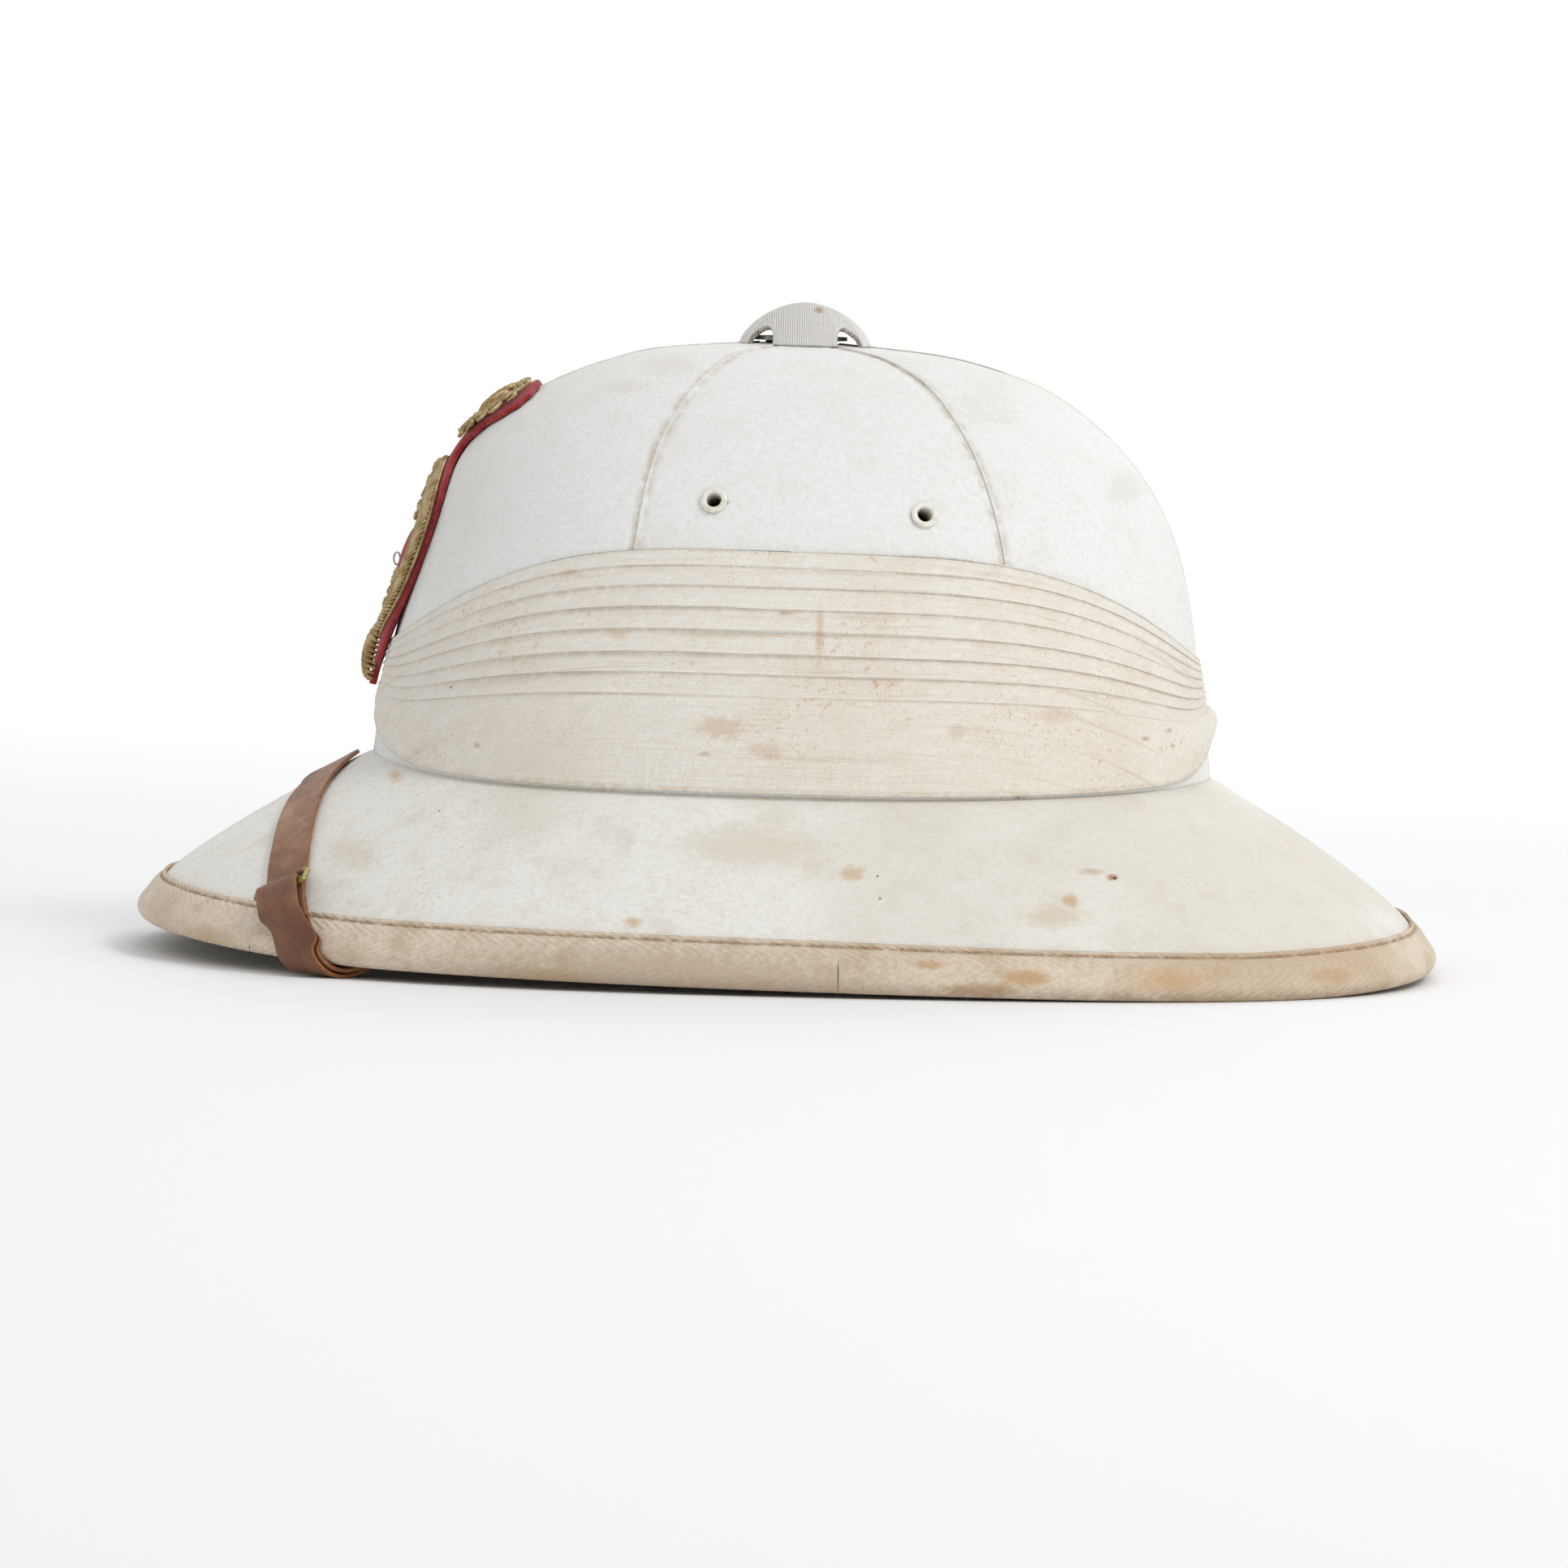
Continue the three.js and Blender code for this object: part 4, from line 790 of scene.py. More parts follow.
CROWN_CLOTH = cloth(
    "crown_twill",
    srgb(243, 243, 241),
    srgb(222, 217, 206),
    0.5,
    twill=0.8,
    depth=0.2,
    soiling=0.26,
    fox=0.16,
    patches=CROWN_STAINS,
    stained=0.45,
)
CAP_CLOTH = cloth(
    "cap_rib",
    srgb(252, 250, 246),
    srgb(236, 230, 218),
    0.5,
    soiling=0.4,
    fox=0.2,
    ribs=0.62,
    patches=CROWN_STAINS[-1:],
)
BRIM_CLOTH = cloth(
    "brim_twill",
    srgb(243, 241, 235),
    srgb(219, 210, 194),
    0.55,
    twill=0.8,
    depth=0.22,
    soiling=0.5,
    fox=0.42,
    patches=BRIM_STAINS,
)
TAPE_CLOTH = cloth(
    "rim_twill",
    srgb(232, 217, 197),
    srgb(196, 170, 140),
    0.85,
    twill=1.0,
    depth=0.5,
    soiling=0.7,
    fox=0.3,
    patches=TAPE_PATCHES,
)
MUSLIN = cloth(
    "band_muslin",
    srgb(246, 241, 233),
    srgb(229, 218, 200),
    0.5,
    depth=0.2,
    soiling=0.4,
    fox=0.75,
    slub=0.34,
    patches=BAND_STAINS,
    stained=0.6,
)
HIDE = leather_material()
BRASS = metal_material("aged_brass", srgb(186, 170, 98), srgb(112, 98, 56), 0.3)
STEEL = metal_material("dull_sheet", srgb(170, 168, 160), srgb(110, 108, 100), 0.4)
SILVER = metal_material("silver_wire", srgb(214, 212, 204), srgb(150, 148, 142), 0.22)
BULLION = bullion_material()
FELT = felt_material()
ENAMEL = enamel_material()
PITH = pith_material()
THREAD = thread_material()


# Stitches

def stitch_tree():
    """Thread stitches along a line of edges, as long capsules laid at an even pitch."""
    tree = bpy.data.node_groups.new("stitch_row", "GeometryNodeTree")
    tree.interface.new_socket("Geometry", in_out="INPUT", socket_type="NodeSocketGeometry")
    for name in ("Pitch", "Length", "Thread"):
        tree.interface.new_socket(name, in_out="INPUT", socket_type="NodeSocketFloat")
    tree.interface.new_socket("Seed", in_out="INPUT", socket_type="NodeSocketInt")
    tree.interface.new_socket("Material", in_out="INPUT", socket_type="NodeSocketMaterial")
    tree.interface.new_socket("Geometry", in_out="OUTPUT", socket_type="NodeSocketGeometry")
    g = Graph(tree)
    given = g.node("NodeGroupInput").outputs
    line = g.node("GeometryNodeMeshToCurve", {"Mesh": given["Geometry"]}).outputs[0]
    spaced = g.node("GeometryNodeResampleCurve", {"Curve": line, "Length": given["Pitch"]}, mode="LENGTH")
    points = g.node("GeometryNodeCurveToPoints", {"Curve": spaced.outputs[0]}, mode="EVALUATED").outputs
    capsule = g.node("GeometryNodeMeshUVSphere", {"Segments": 8, "Rings": 6, "Radius": 0.5}).outputs[0]
    turned = g.node("FunctionNodeAlignRotationToVector", {"Vector": points["Tangent"]}, axis="X").outputs[0]
    limits = {2: 0.75, 3: 1.15, "Seed": given["Seed"]}
    unevenness = g.node("FunctionNodeRandomValue", limits, data_type="FLOAT").outputs[1]
    long_side = g.maths("MULTIPLY", given["Length"], unevenness)
    size = g.joined_vector(long_side, given["Thread"], given["Thread"])
    sockets = {"Points": points["Points"], "Instance": capsule, "Rotation": turned, "Scale": size}
    laid = g.node("GeometryNodeInstanceOnPoints", sockets).outputs[0]
    real = g.node("GeometryNodeRealizeInstances", {"Geometry": laid}).outputs[0]
    coated = g.node("GeometryNodeSetMaterial", {"Geometry": real, "Material": given["Material"]}).outputs[0]
    g.node("NodeGroupOutput", {"Geometry": coated})
    return tree


STITCHES = stitch_tree()


def stitch_row(name, points, pitch, length, thread, material, closed=False, seed=1):
    """A row of stitches along a line of points in millimetres."""
    count = len(points)
    edges = [(k, (k + 1) % count) for k in range(count if closed else count - 1)]
    mesh = bpy.data.meshes.new(name)
    mesh.from_pydata((points * METRE).tolist(), edges, [])
    piece = bpy.data.objects.new(name, mesh)
    bpy.context.scene.collection.objects.link(piece)
    sewn = piece.modifiers.new("sewn", "NODES")
    sewn.node_group = STITCHES
    lengths = {"Pitch": pitch, "Length": length, "Thread": thread}
    given = {socket: size * METRE for socket, size in lengths.items()} | {"Seed": seed, "Material": material}
    for item in STITCHES.interface.items_tree:
        if item.in_out == "INPUT" and item.name in given:
            sewn[item.identifier] = given[item.name]
    made_plain(piece)
    piece.data.shade_smooth()
    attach(piece, "root")
    return piece


# Crown

def gore_panel(name, start, end):
    """One cloth gore, raised on one side and sunk on the other where it laps its neighbours."""
    steps = 0.5 - 0.5 * np.cos(np.linspace(0, math.pi, 61))
    shares = np.linspace(0, 1, 97)
    angle, share = np.meshgrid((start + (end - start) * steps) * DEGREE, shares)
    middle = crown_surface(angle, share)
    reach = np.hypot(middle[..., 0], middle[..., 1])
    half_gap = 0.04 / reach
    side = np.clip(np.stack([start * DEGREE + half_gap, end * DEGREE - half_gap]), 0, 7)
    angle = np.clip(angle, side[0], side[1])
    seam = np.minimum(angle - start * DEGREE, end * DEGREE - angle) * reach
    over = angle - start * DEGREE < end * DEGREE - angle
    pucker = 0.12 * np.sin(share * 230 + 6 * ripple(share * 6, 5, 5))
    lap = 0.34 * np.exp(-((seam / 0.7) ** 4))
    dip = np.where(over, -lap, lap) + (0.16 + pucker) * np.exp(-(((seam - 1.4) / 0.7) ** 2))
    points = crown_point(angle, share, -dip)
    # Painted highlight along the lapped edge of each seam, and painted shade on the cloth beside it.
    painted_fold_highlight = np.where(over, np.exp(-((seam / 0.4) ** 2)), 0)
    painted_hollow_shade = np.exp(-(((seam - 0.9) / 0.8) ** 2)) * 0.8
    centre = points.shape[1] // 2
    round_way = arc_lengths(points, 1)
    up_way = arc_lengths(points, 0)[:, centre : centre + 1]
    flat = np.stack([round_way - round_way[:, centre : centre + 1], up_way + 0 * round_way], axis=-1)
    inside = crown_point(angle, share, np.full(angle.shape, -CROWN["cloth"] - 0.1))[:, ::-1]
    both = np.concatenate([points, inside], axis=1)
    flat = np.concatenate([flat, flat[:, ::-1], flat[:, :1]], axis=1)
    marks = {"painted_fold_highlight": painted_fold_highlight, "painted_hollow_shade": painted_hollow_shade}
    marks = {mark: np.concatenate([rows, 0 * rows], axis=1) for mark, rows in marks.items()}
    return grid_piece(name, both, flat, closed=(False, True), marks=marks, caps=True)


def eyelet_places():
    for side, sign in (("left", -1), ("right", 1)):
        for place, turn, level in (("front", 101.3, 0.652), ("back", 72.1, 0.632)):
            angle = np.array(sign * turn * DEGREE)
            share = share_where(CROWN_LEVEL, level)
            normal = normal_of(crown_surface, angle, share)
            yield f"eyelet_{side}_{place}", crown_point(angle, share, 0.0), normal


def turned_piece(name, profile, place, direction, sides=40):
    """A turned body about a direction, from a closed profile of radius and height."""
    axis = Vector(direction).normalized()
    across = axis.orthogonal().normalized()
    basis = np.array([across, axis.cross(across), axis])
    turns = np.linspace(0, 2 * math.pi, sides, endpoint=False)
    profile = np.array(profile, float)
    local = np.stack(
        [
            profile[None, :, 0] * np.cos(turns)[:, None],
            profile[None, :, 0] * np.sin(turns)[:, None],
            np.broadcast_to(profile[None, :, 1], (sides, len(profile))),
        ],
        axis=-1,
    )
    return grid_piece(name, local @ basis + np.array(place), closed=(True, True), flip=True)


def eyelet_profile():
    bore, barrel, flange = EYELET["bore"], EYELET["bore"] + EYELET["wall"], EYELET["flange"]
    low, high = CLEARANCE, CLEARANCE + EYELET["thickness"]
    depth = -CROWN["cloth"] - CROWN["shell"]
    outer = [(bore, depth), (barrel, depth), (barrel, low), (flange - 0.15, low), (flange, low + 0.2)]
    middle, half = (flange + bore) / 2, (flange - bore) / 2
    crest = []
    for turn in np.linspace(0, math.pi, 10)[1:-1]:
        rise = (high - low - 0.2) * math.sin(turn) ** 0.8
        crest.append((middle + half * math.cos(turn), low + 0.2 + rise))
    return outer + crest + [(bore, low - 0.2)]


# The gores' cuts: width at the widest and flat area.
GORE_CUTS = dict(back=(0.122, 0.0126), side=(0.11, 0.0128), front=(0.132, 0.0139))


def make_crown():
    drills = []
    radius = EYELET["bore"] + EYELET["wall"] + CLEARANCE
    depth = 2 * SKIN_DEPTH
    outline = [(0.01, -depth), (radius, -depth), (radius, depth), (0.01, depth)]
    for name, place, normal in eyelet_places():
        drills.append((name, turned_piece(f"drill_{name}", outline, place, normal, 24)))
    names = ("back_right", "side_right", "front_right", "front_left", "side_left", "back_left")
    for name, start, end in zip(names, SEAM_ANGLES, SEAM_ANGLES[1:]):
        panel = gore_panel(f"gore_{name}", start, end)
        if name.startswith("side"):
            side = name.split("_")[1]
            panel = drilled(panel, [drill for where, drill in drills if f"_{side}_" in where])
        finish_piece(panel, CROWN_CLOTH, "crown_cloth", f"panel_{name}")
        wide, area = GORE_CUTS[name.split("_")[0]]
    angles = np.linspace(0, 2 * math.pi, 145)[:-1]
    shares = np.linspace(0, 1, 41)
    angle, share = np.meshgrid(angles, shares, indexing="ij")
    outside = crown_point(angle, share, -CROWN["cloth"] - CLEARANCE - 0.2)
    inside = crown_point(angle, share, -SKIN_DEPTH)[:, ::-1]
    points = np.concatenate([outside, inside], axis=1)
    shell = grid_piece("pith_shell", points, closed=(True, True), flip=True)
    finish_piece(drilled(shell, [drill for where, drill in drills]), PITH, "pith", "crown_shell")
    for name, drill in drills:
        bpy.data.objects.remove(drill)
    for name, place, normal in eyelet_places():
        ring = turned_piece(f"ring_{name}", eyelet_profile(), place, normal)
        finish_piece(ring, ENAMEL, "enamel", name)


make_crown()


# Brim and its tape

def cone_flat(angle, slant):
    """Flat coordinates of cloth cut as a piece of a cone's surface."""
    spread, start = 0.79, 120
    radius = start + slant
    return np.stack([radius * np.cos(angle * spread), radius * np.sin(angle * spread)], axis=-1)


def make_brim():
    angles = np.linspace(0, 2 * math.pi, 289)[:-1]
    shares = np.linspace(0.02, 1, 40)
    angle, share = np.meshgrid(angles, shares, indexing="ij")
    half = BRIM_THICKNESS / 2
    drop = np.array([0, 0, -CLEARANCE])
    top = brim_point(angle, share, half)
    below = brim_point(angle, share, -half)[:, ::-1]
    turn = np.array([60, 30, 0, -30, -60])
    edge_angle, edge_turn = np.meshgrid(angles, turn, indexing="ij")
    edge = edge_point(edge_angle, edge_turn, half)
    foot_out = crown_point(angles[:, None], np.zeros((1, 1)), 0.0) + drop
    foot_in = crown_point(angles[:, None], np.zeros((1, 1)), -SKIN_DEPTH) + drop
    top[:, 0] = foot_out[:, 0] * 0.4 + top[:, 1] * 0.6
    points = np.concatenate([foot_out, top, edge, below, foot_in], axis=1)
    slant = arc_lengths(np.concatenate([points, points[:, :1]], axis=1), 1)
    slant = np.concatenate([slant, slant[:1]])
    round_angle = np.linspace(0, 2 * math.pi, 289)[:, None] + 0 * slant
    piece = grid_piece("brim_cloth", points, cone_flat(round_angle, slant), closed=(True, True))
    finish_piece(piece, BRIM_CLOTH, "brim_cloth", "brim")


def shares_back(angles, distances):
    """The shares of the brim at distances in from its edge, one row for each angle."""
    shares = np.linspace(0.6, 1, 161)
    spine = brim_surface(angles[:, None], shares[None])
    away = np.linalg.norm(spine - spine[:, -1:], axis=-1)
    return np.array([np.interp(-distances, -row, shares) for row in away])


def tape_face(angles, radius, turns, legs, shift):
    """One face of the tape, from its upper edge round the rim to its lower edge."""
    rows = len(legs)
    around = angles[:, None]
    shares = shares_back(angles, legs)
    upper = brim_point(around, shares, radius + shift[:, :rows])
    lower = brim_point(around, shares, -(radius + shift[:, :rows]))[:, ::-1]
    edge = edge_point(np.broadcast_to(around, (len(angles), len(turns))), turns, radius)
    return np.concatenate([upper, edge, lower], axis=1)


HERRINGBONE = 6.2


def make_tape():
    """Twill tape folded over the rim and pulled in along its row of stitches."""
    legs = np.array([9, 8.7, 8.3, 8, 7.8, 7.6, 7.4, 7.2, 6.8, 6.2, 5.2, 4, 2.6, 1.2, 0])
    turns = np.array([75, 60, 45, 30, 15, 0, -15, -30, -45, -60, -75])
    angles = np.linspace(0, 2 * math.pi, 721)[:-1]
    groove = 0.5 * np.exp(-(((legs - TAPE["stitch"]) / 0.5) ** 2)) + 0.25 * (legs > TAPE["width"] - 0.2)
    plump = 0.2 * np.exp(-(((legs - 5) / 1.6) ** 2))
    uneven = 1 + 0.35 * ripple(angles, 11, 90)[:, None]
    shift = plump - groove * uneven
    outer = tape_face(angles, RIM_RADIUS, turns, legs, shift)
    inner = tape_face(angles, RIM_RADIUS - TAPE["thickness"], turns, legs, 0 * shift)
    points = np.concatenate([outer, inner[:, ::-1]], axis=1)
    points[..., 2] = np.maximum(points[..., 2], 0)
    round_way = arc_lengths(np.concatenate([points, points[:1]]), 0)[:, len(legs)]
    down_way = arc_lengths(np.concatenate([points, points[:, :1]], axis=1), 1)[0]
    herringbone = np.abs(down_way - HERRINGBONE)
    flat = np.stack(np.broadcast_arrays(round_way[:, None] * 0.5, herringbone[None]), axis=-1)
    count = points.shape[1]
    # Darker along the stitch groove and the tape's upper edge, soiling with painted shade in these recesses,
    # and darker towards the floor.
    soil_and_shade = np.zeros(count)
    soil_and_shade[: len(legs)] = np.exp(-(((legs - TAPE["stitch"]) / 0.45) ** 2)) + (legs > TAPE["width"] - 0.1)
    low = smooth_step(points[..., 2], 5, 0.5) * 0.45
    marks = {"soil_and_shade": np.clip(soil_and_shade[None] + low, 0, 1)}
    piece = grid_piece("rim_binding", points, flat, closed=(True, True), marks=marks)
    finish_piece(piece, TAPE_CLOTH, "tape", "rim_tape")
    for name, row in (("upper", 5), ("lower", 2 * len(legs) + len(turns) - 6)):
        seam = stitch_row(f"rim_stitches_{name}", outer[:, row], 3.1, 2.3, 0.42, THREAD, closed=True)


make_brim()
make_tape()


# Band

def band_top(angle):
    c = np.cos(angle)
    return BAND["side_top"] - np.where(c < 0, BAND["front_drop"], BAND["back_drop"]) * np.abs(c) ** 3.6


def band_foot(angle):
    c = np.cos(angle)
    rise = np.where(c < 0, BAND["front_rise"], BAND["back_rise"]) * np.abs(c) ** 24
    return seam_height(angle) + BAND["hem"] + rise + 1.2 * c**4


def band_point(angle, down, out):
    height = band_top(angle) + (band_foot(angle) - band_top(angle)) * down
    foot = seam_height(angle)
    share = share_where(CROWN_LEVEL, (height - foot) / (CROWN["top"] - foot))
    return crown_point(angle, share, out)


# Places down the band's plain part, below its pleats.
BELOW_PLEATS = (0.012, 0.04, 0.1, 0.18, 0.27, 0.36, 0.45, 0.54, 0.63, 0.72, 0.8, 0.87, 0.93, 0.965, 0.985, 1)


def band_profile():
    """The band's face from top edge to hem: places down it, how far each stands out, and how much painted
    highlight and painted shade each carries.
    """
    rows = [(0.0, 0.1, 0, 0), (0.0, 0.62, 0.8, 0), (0.006, 0.7, 0.3, 0)]
    for start, end, swell in PLEATS:
        for step in (0.04, 0.12, 0.25, 0.45, 0.65, 0.82, 0.92, 0.97, 1):
            # Painted highlight on each pleat's lower fold edge, and painted shade just under the fold above
            # it.
            painted_fold_highlight = 1 if step > 0.95 else 0.3 if step > 0.9 else 0
            painted_hollow_shade = 0.9 if step < 0.1 else 0.55 if step < 0.2 else 0.2 if step < 0.3 else 0
            out = 0.62 + (0.16 + swell * 1.15) * step**1.4
            rows.append((start + (end - start) * step, out, painted_fold_highlight, painted_hollow_shade))
    low = PLEATS[-1][1]
    for step in BELOW_PLEATS:
        hem = 0.18 if step > 0.95 else 0
        out = 0.85 + 0.12 * math.sin(math.pi * step) + hem
        # Painted shade along the hem and just under the last pleat.
        rows.append((low + (1 - low) * step, out, 0, hem * 4 + 0.7 * (step < 0.03)))
    return np.array(rows).T


def make_band():
    downs, outs, painted_fold_highlights, painted_hollow_shades = band_profile()
    angles = np.linspace(0, 2 * math.pi, 721)[:-1]
    angle, down = np.meshgrid(angles, downs, indexing="ij")
    out = np.broadcast_to(outs, angle.shape).copy()
    c = np.cos(angle)
    low = PLEATS[-1][1]
    below = np.clip((down - low) / (1 - low), 0, 1)
    for index, (start, end, _) in enumerate(PLEATS):
        depth = 0.75 + 0.45 * ripple(angles, 20 + index, 7)[:, None]
        inside = (down > start) & (down <= end)
        out = np.where(inside, 0.62 + (out - 0.62) * np.clip(depth, 0.15, 1.5), out)
        wander = 0.006 * ripple(angles, 40 + index, 6)[:, None]
        down = down + np.where(inside, wander, 0)
    fine = 0.05 * ripple(angle + 40 * down, 71, 9) + 0.05 * ripple(angle + 95 * down, 73, 12)
    crease = 0.16 * ripple(angle, 77, 5)
    crease = crease * np.exp(-(((below - 0.45 - 0.1 * ripple(angle, 78, 4)) / 0.06) ** 2))
    belly = np.sin(math.pi * below**0.8) * (0.25 + np.where(c > 0, 1.1 * c**6, 0))
    taper = 1 - 0.3 * c**4
    face = CLEARANCE + BAND["thickness"] * ((out + fine + crease) * taper + belly)
    outside = band_point(angle, np.clip(down, 0, 1), np.maximum(face, CLEARANCE + 0.15))
    back = np.array([1, 0.66, 0.33, 0])
    back_angle, back_down = np.meshgrid(angles, back, indexing="ij")
    inside_face = band_point(back_angle, back_down, np.full(back_angle.shape, CLEARANCE))
    points = np.concatenate([outside, inside_face], axis=1)
    plain = np.zeros(len(back))
    # How strongly the painted highlight and painted shade show round the band, weaker towards the front.
    present = 0.72 + 0.28 * ripple(angles, 61, 25)[:, None]
    present = present * (1 - 0.55 * smooth_step(-np.cos(angles), 0.4, 0.95)[:, None])
    marks = {
        "painted_fold_highlight": np.clip(np.concatenate([painted_fold_highlights, plain])[None] * present, 0, 1),
        "painted_hollow_shade": np.clip(np.concatenate([painted_hollow_shades, plain])[None] * present, 0, 1),
    }
    piece = grid_piece("pleated_band", points, closed=(True, True), marks=marks)
    finish_piece(piece, MUSLIN, "muslin", "puggaree")


make_band()


# Vent cap

def crown_height_at(angle, reach):
    """The height of the crown's top at distances from its middle."""
    shares = np.linspace(0.8, 1, 60)
    line = crown_surface(angle, shares)
    far = np.hypot(line[:, 0], line[:, 1])
    return np.interp(-reach, -far, line[:, 2])


def make_cap():
    """The domed cap in ribbed cloth. Four tabs follow the crown down, with a low arch between each two."""
    turns = np.linspace(0, 2 * math.pi, 257)[:-1]
    rises = np.concatenate([[0, 0.012, 0.03], np.linspace(0.06, 1, 30)])
    half_arch = VENT["radius"] * math.sin(math.pi / 4 - math.asin(VENT["tab"] / 2 / VENT["radius"]))
    off_arch = np.abs(turns % (math.pi / 2) - math.pi / 4)
    across = VENT["radius"] * np.sin(off_arch)
    arch = VENT["arch"] / VENT["height"] * np.sqrt(np.clip(1 - (across / half_arch) ** 2, 0, 1))
    low = 2 / math.pi * np.arcsin(arch)
    share_up = low[:, None] + (1 - low[:, None]) * rises[None]
    height = np.sin(share_up * math.pi / 2)
    width = (1 - np.clip(height, 0, 0.9999) ** 1.5) ** 0.55
    swell = 0.35 * smooth_step(across, half_arch - 1.2, half_arch + 0.6)[:, None] * (1 - height)
    reach = VENT["radius"] * width + swell
    reach[:, -1] = 0.02
    x = VENT["shift"] + reach * np.cos(turns)[:, None]
    y = reach * np.sin(turns)[:, None]
    share = share_where(CROWN_LEVEL, CROWN_LEVEL[-2])
    edge = max(float(crown_surface(turn, share)[2]) for turn in (0.0, math.pi, math.pi / 2))
    top = stand(VENT["shift"], 0.0, CROWN["top"])
    seat = edge + (top[2] - edge) * 0.84 + CLEARANCE
    rim = np.array([crown_height_at(turn, VENT["radius"]) for turn in turns])
    fall = np.clip(seat - rim - 0.1, 0, 4)[:, None] * (1 - height) ** 1.5
    points = np.stack(np.broadcast_arrays(x, y, seat + VENT["height"] * height - fall), axis=-1)
    # Darker along the cap's foot where it meets the crown: soiling with painted shade.
    marks = {"soil_and_shade": np.clip(1 - rises / 0.03, 0, 1)[None]}
    piece = grid_piece("vent_cap_cloth", points, closed=(True, False), marks=marks, flip=True)
    finish_piece(thickened(piece, VENT["wall"]), CAP_CLOTH, "crown_cloth", "vent_cap")


make_cap()


# Chin strap

RIM_PLACE = 14


def skin_height(angle, share):
    """How far the brim's outside lies from its middle surface: more where the tape covers it."""
    width = np.linalg.norm(brim_surface(angle, 0.0) - brim_surface(angle, 1.0))
    bare = smooth_step((1 - share) * width, TAPE["width"] + 2, TAPE["width"] + 2 + STRAP["width"] / 2)
    return RIM_RADIUS + (BRIM_THICKNESS / 2 - RIM_RADIUS) * bare, width


def strap_way(sign):
    """Places along the strap on one side: points, directions off the hat, rim directions and creases."""
    places = []

    def hat_angle(turn):
        return sign * (180 - turn) * DEGREE

    def add(point, normal, angle, crease):
        rim = unit(brim_surface(angle + 0.02, 1.0) - brim_surface(angle - 0.02, 1.0))
        places.append((point, unit(normal), rim, crease))

    def over_face(turn_rows, share_rows, steps, face):
        for t in np.linspace(0, 1, steps + 1):
            angle = hat_angle(float(column(turn_rows, t)))
            share = min(float(column(share_rows, t)), 1.0)
            lift, width = skin_height(angle, share)
            reach = 1.1 * STRAP["width"]
            to_edge = min((1 - share) * width, share * width if face < 0 else reach)
            if face < 0:
                lift = lift + STRAP["slack"] * smooth_step(to_edge, 0, 4)
            crease = 1 - smooth_step(to_edge, 0, reach)
            add(brim_point(angle, share, face * lift), brim_normal(angle, share) * face, angle, crease)

    over_face(OVER_PEAK_TURN, OVER_PEAK_SHARE, RIM_PLACE, 1)
    for turn in (60, 30, 0, -30, -60):
        step = (90 - turn) / 180
        angle = hat_angle(OVER_PEAK_TURN[-1] + (UNDER_BRIM_TURN[0] - OVER_PEAK_TURN[-1]) * step)
        point = edge_point(angle, turn, RIM_RADIUS)
        add(point, edge_point(angle, turn, RIM_RADIUS + 1) - point, angle, 1.0)
    over_face(UNDER_BRIM_TURN, UNDER_BRIM_SHARE, 9, -1)
    angle = hat_angle(POST["turn"])
    inward = -normal_of(crown_surface, angle, 0.0)
    add(crown_point(angle, 0.0, -SKIN_DEPTH - STRAP["slack"]), inward + np.array([0, 0, -1]), angle, 1.0)
    for height in (3, POST["height"], POST["height"] + STRAP["end"]):
        share = share_where(CROWN_LEVEL, height / (CROWN["top"] - CROWN["seam"]))
        point = crown_point(angle, share, -SKIN_DEPTH - STRAP["wall_slack"])
        add(point, -normal_of(crown_surface, angle, share), angle, 1.0)
    return [np.array(rows) for rows in zip(*places)]


WAY = {"left": strap_way(-1), "right": strap_way(1)}
FIRST_LAYER = STRAP["gap"] + STRAP["thickness"] / 2
SECOND_LAYER = FIRST_LAYER + STRAP_PITCH
LEFT_DISTANCE = arc_lengths(WAY["left"][0], 0)
RIM_DISTANCE = LEFT_DISTANCE[RIM_PLACE]
TAIL_END = RIM_DISTANCE + math.pi * RIM_RADIUS + STRAP["tail"]
BUCKLE_BAR = RIM_DISTANCE - BUCKLE["from_rim"]
BAR_HEIGHT = SECOND_LAYER + BUCKLE["fold_radius"]


def place_along(distance, height):
    """The place at a distance along the left way, raised off the hat."""
    points, normals, rims, creases = WAY["left"]
    near = max(1, int(np.searchsorted(LEFT_DISTANCE, distance)))
    share = (distance - LEFT_DISTANCE[near - 1]) / (LEFT_DISTANCE[near] - LEFT_DISTANCE[near - 1])
    normal = unit(normals[near - 1] + (normals[near] - normals[near - 1]) * share)
    point = points[near - 1] + (points[near] - points[near - 1]) * share + normal * height
    crease = creases[near - 1] + (creases[near] - creases[near - 1]) * share
    return point, normal, rims[near], crease


def eased(rows, at):
    """Smooth numbers between rows that lie at uneven distances."""
    rows = np.array(rows, float)
    gaps = np.diff(at)
    slopes = np.diff(rows, axis=0) / gaps[:, None]
    inner = (slopes[1:] * gaps[:-1, None] + slopes[:-1] * gaps[1:, None]) / (gaps[1:] + gaps[:-1])[:, None]
    tangents = np.concatenate([slopes[:1], inner, slopes[-1:]])

    def value(wanted):
        low = np.clip(np.searchsorted(at, wanted) - 1, 0, len(gaps) - 1)
        gap = gaps[low][:, None]
        u = ((wanted - at[low]) / gaps[low])[:, None]
        first, last = rows[low], rows[low + 1]
        start, end = tangents[low] * gap, tangents[low + 1] * gap
        return (
            first * (1 + 2 * u) * (1 - u) ** 2
            + last * u * u * (3 - 2 * u)
            + start * u * (1 - u) ** 2
            - end * u * u * (1 - u)
        )

    return value


ARC = np.radians((0, 30, 60, 90))


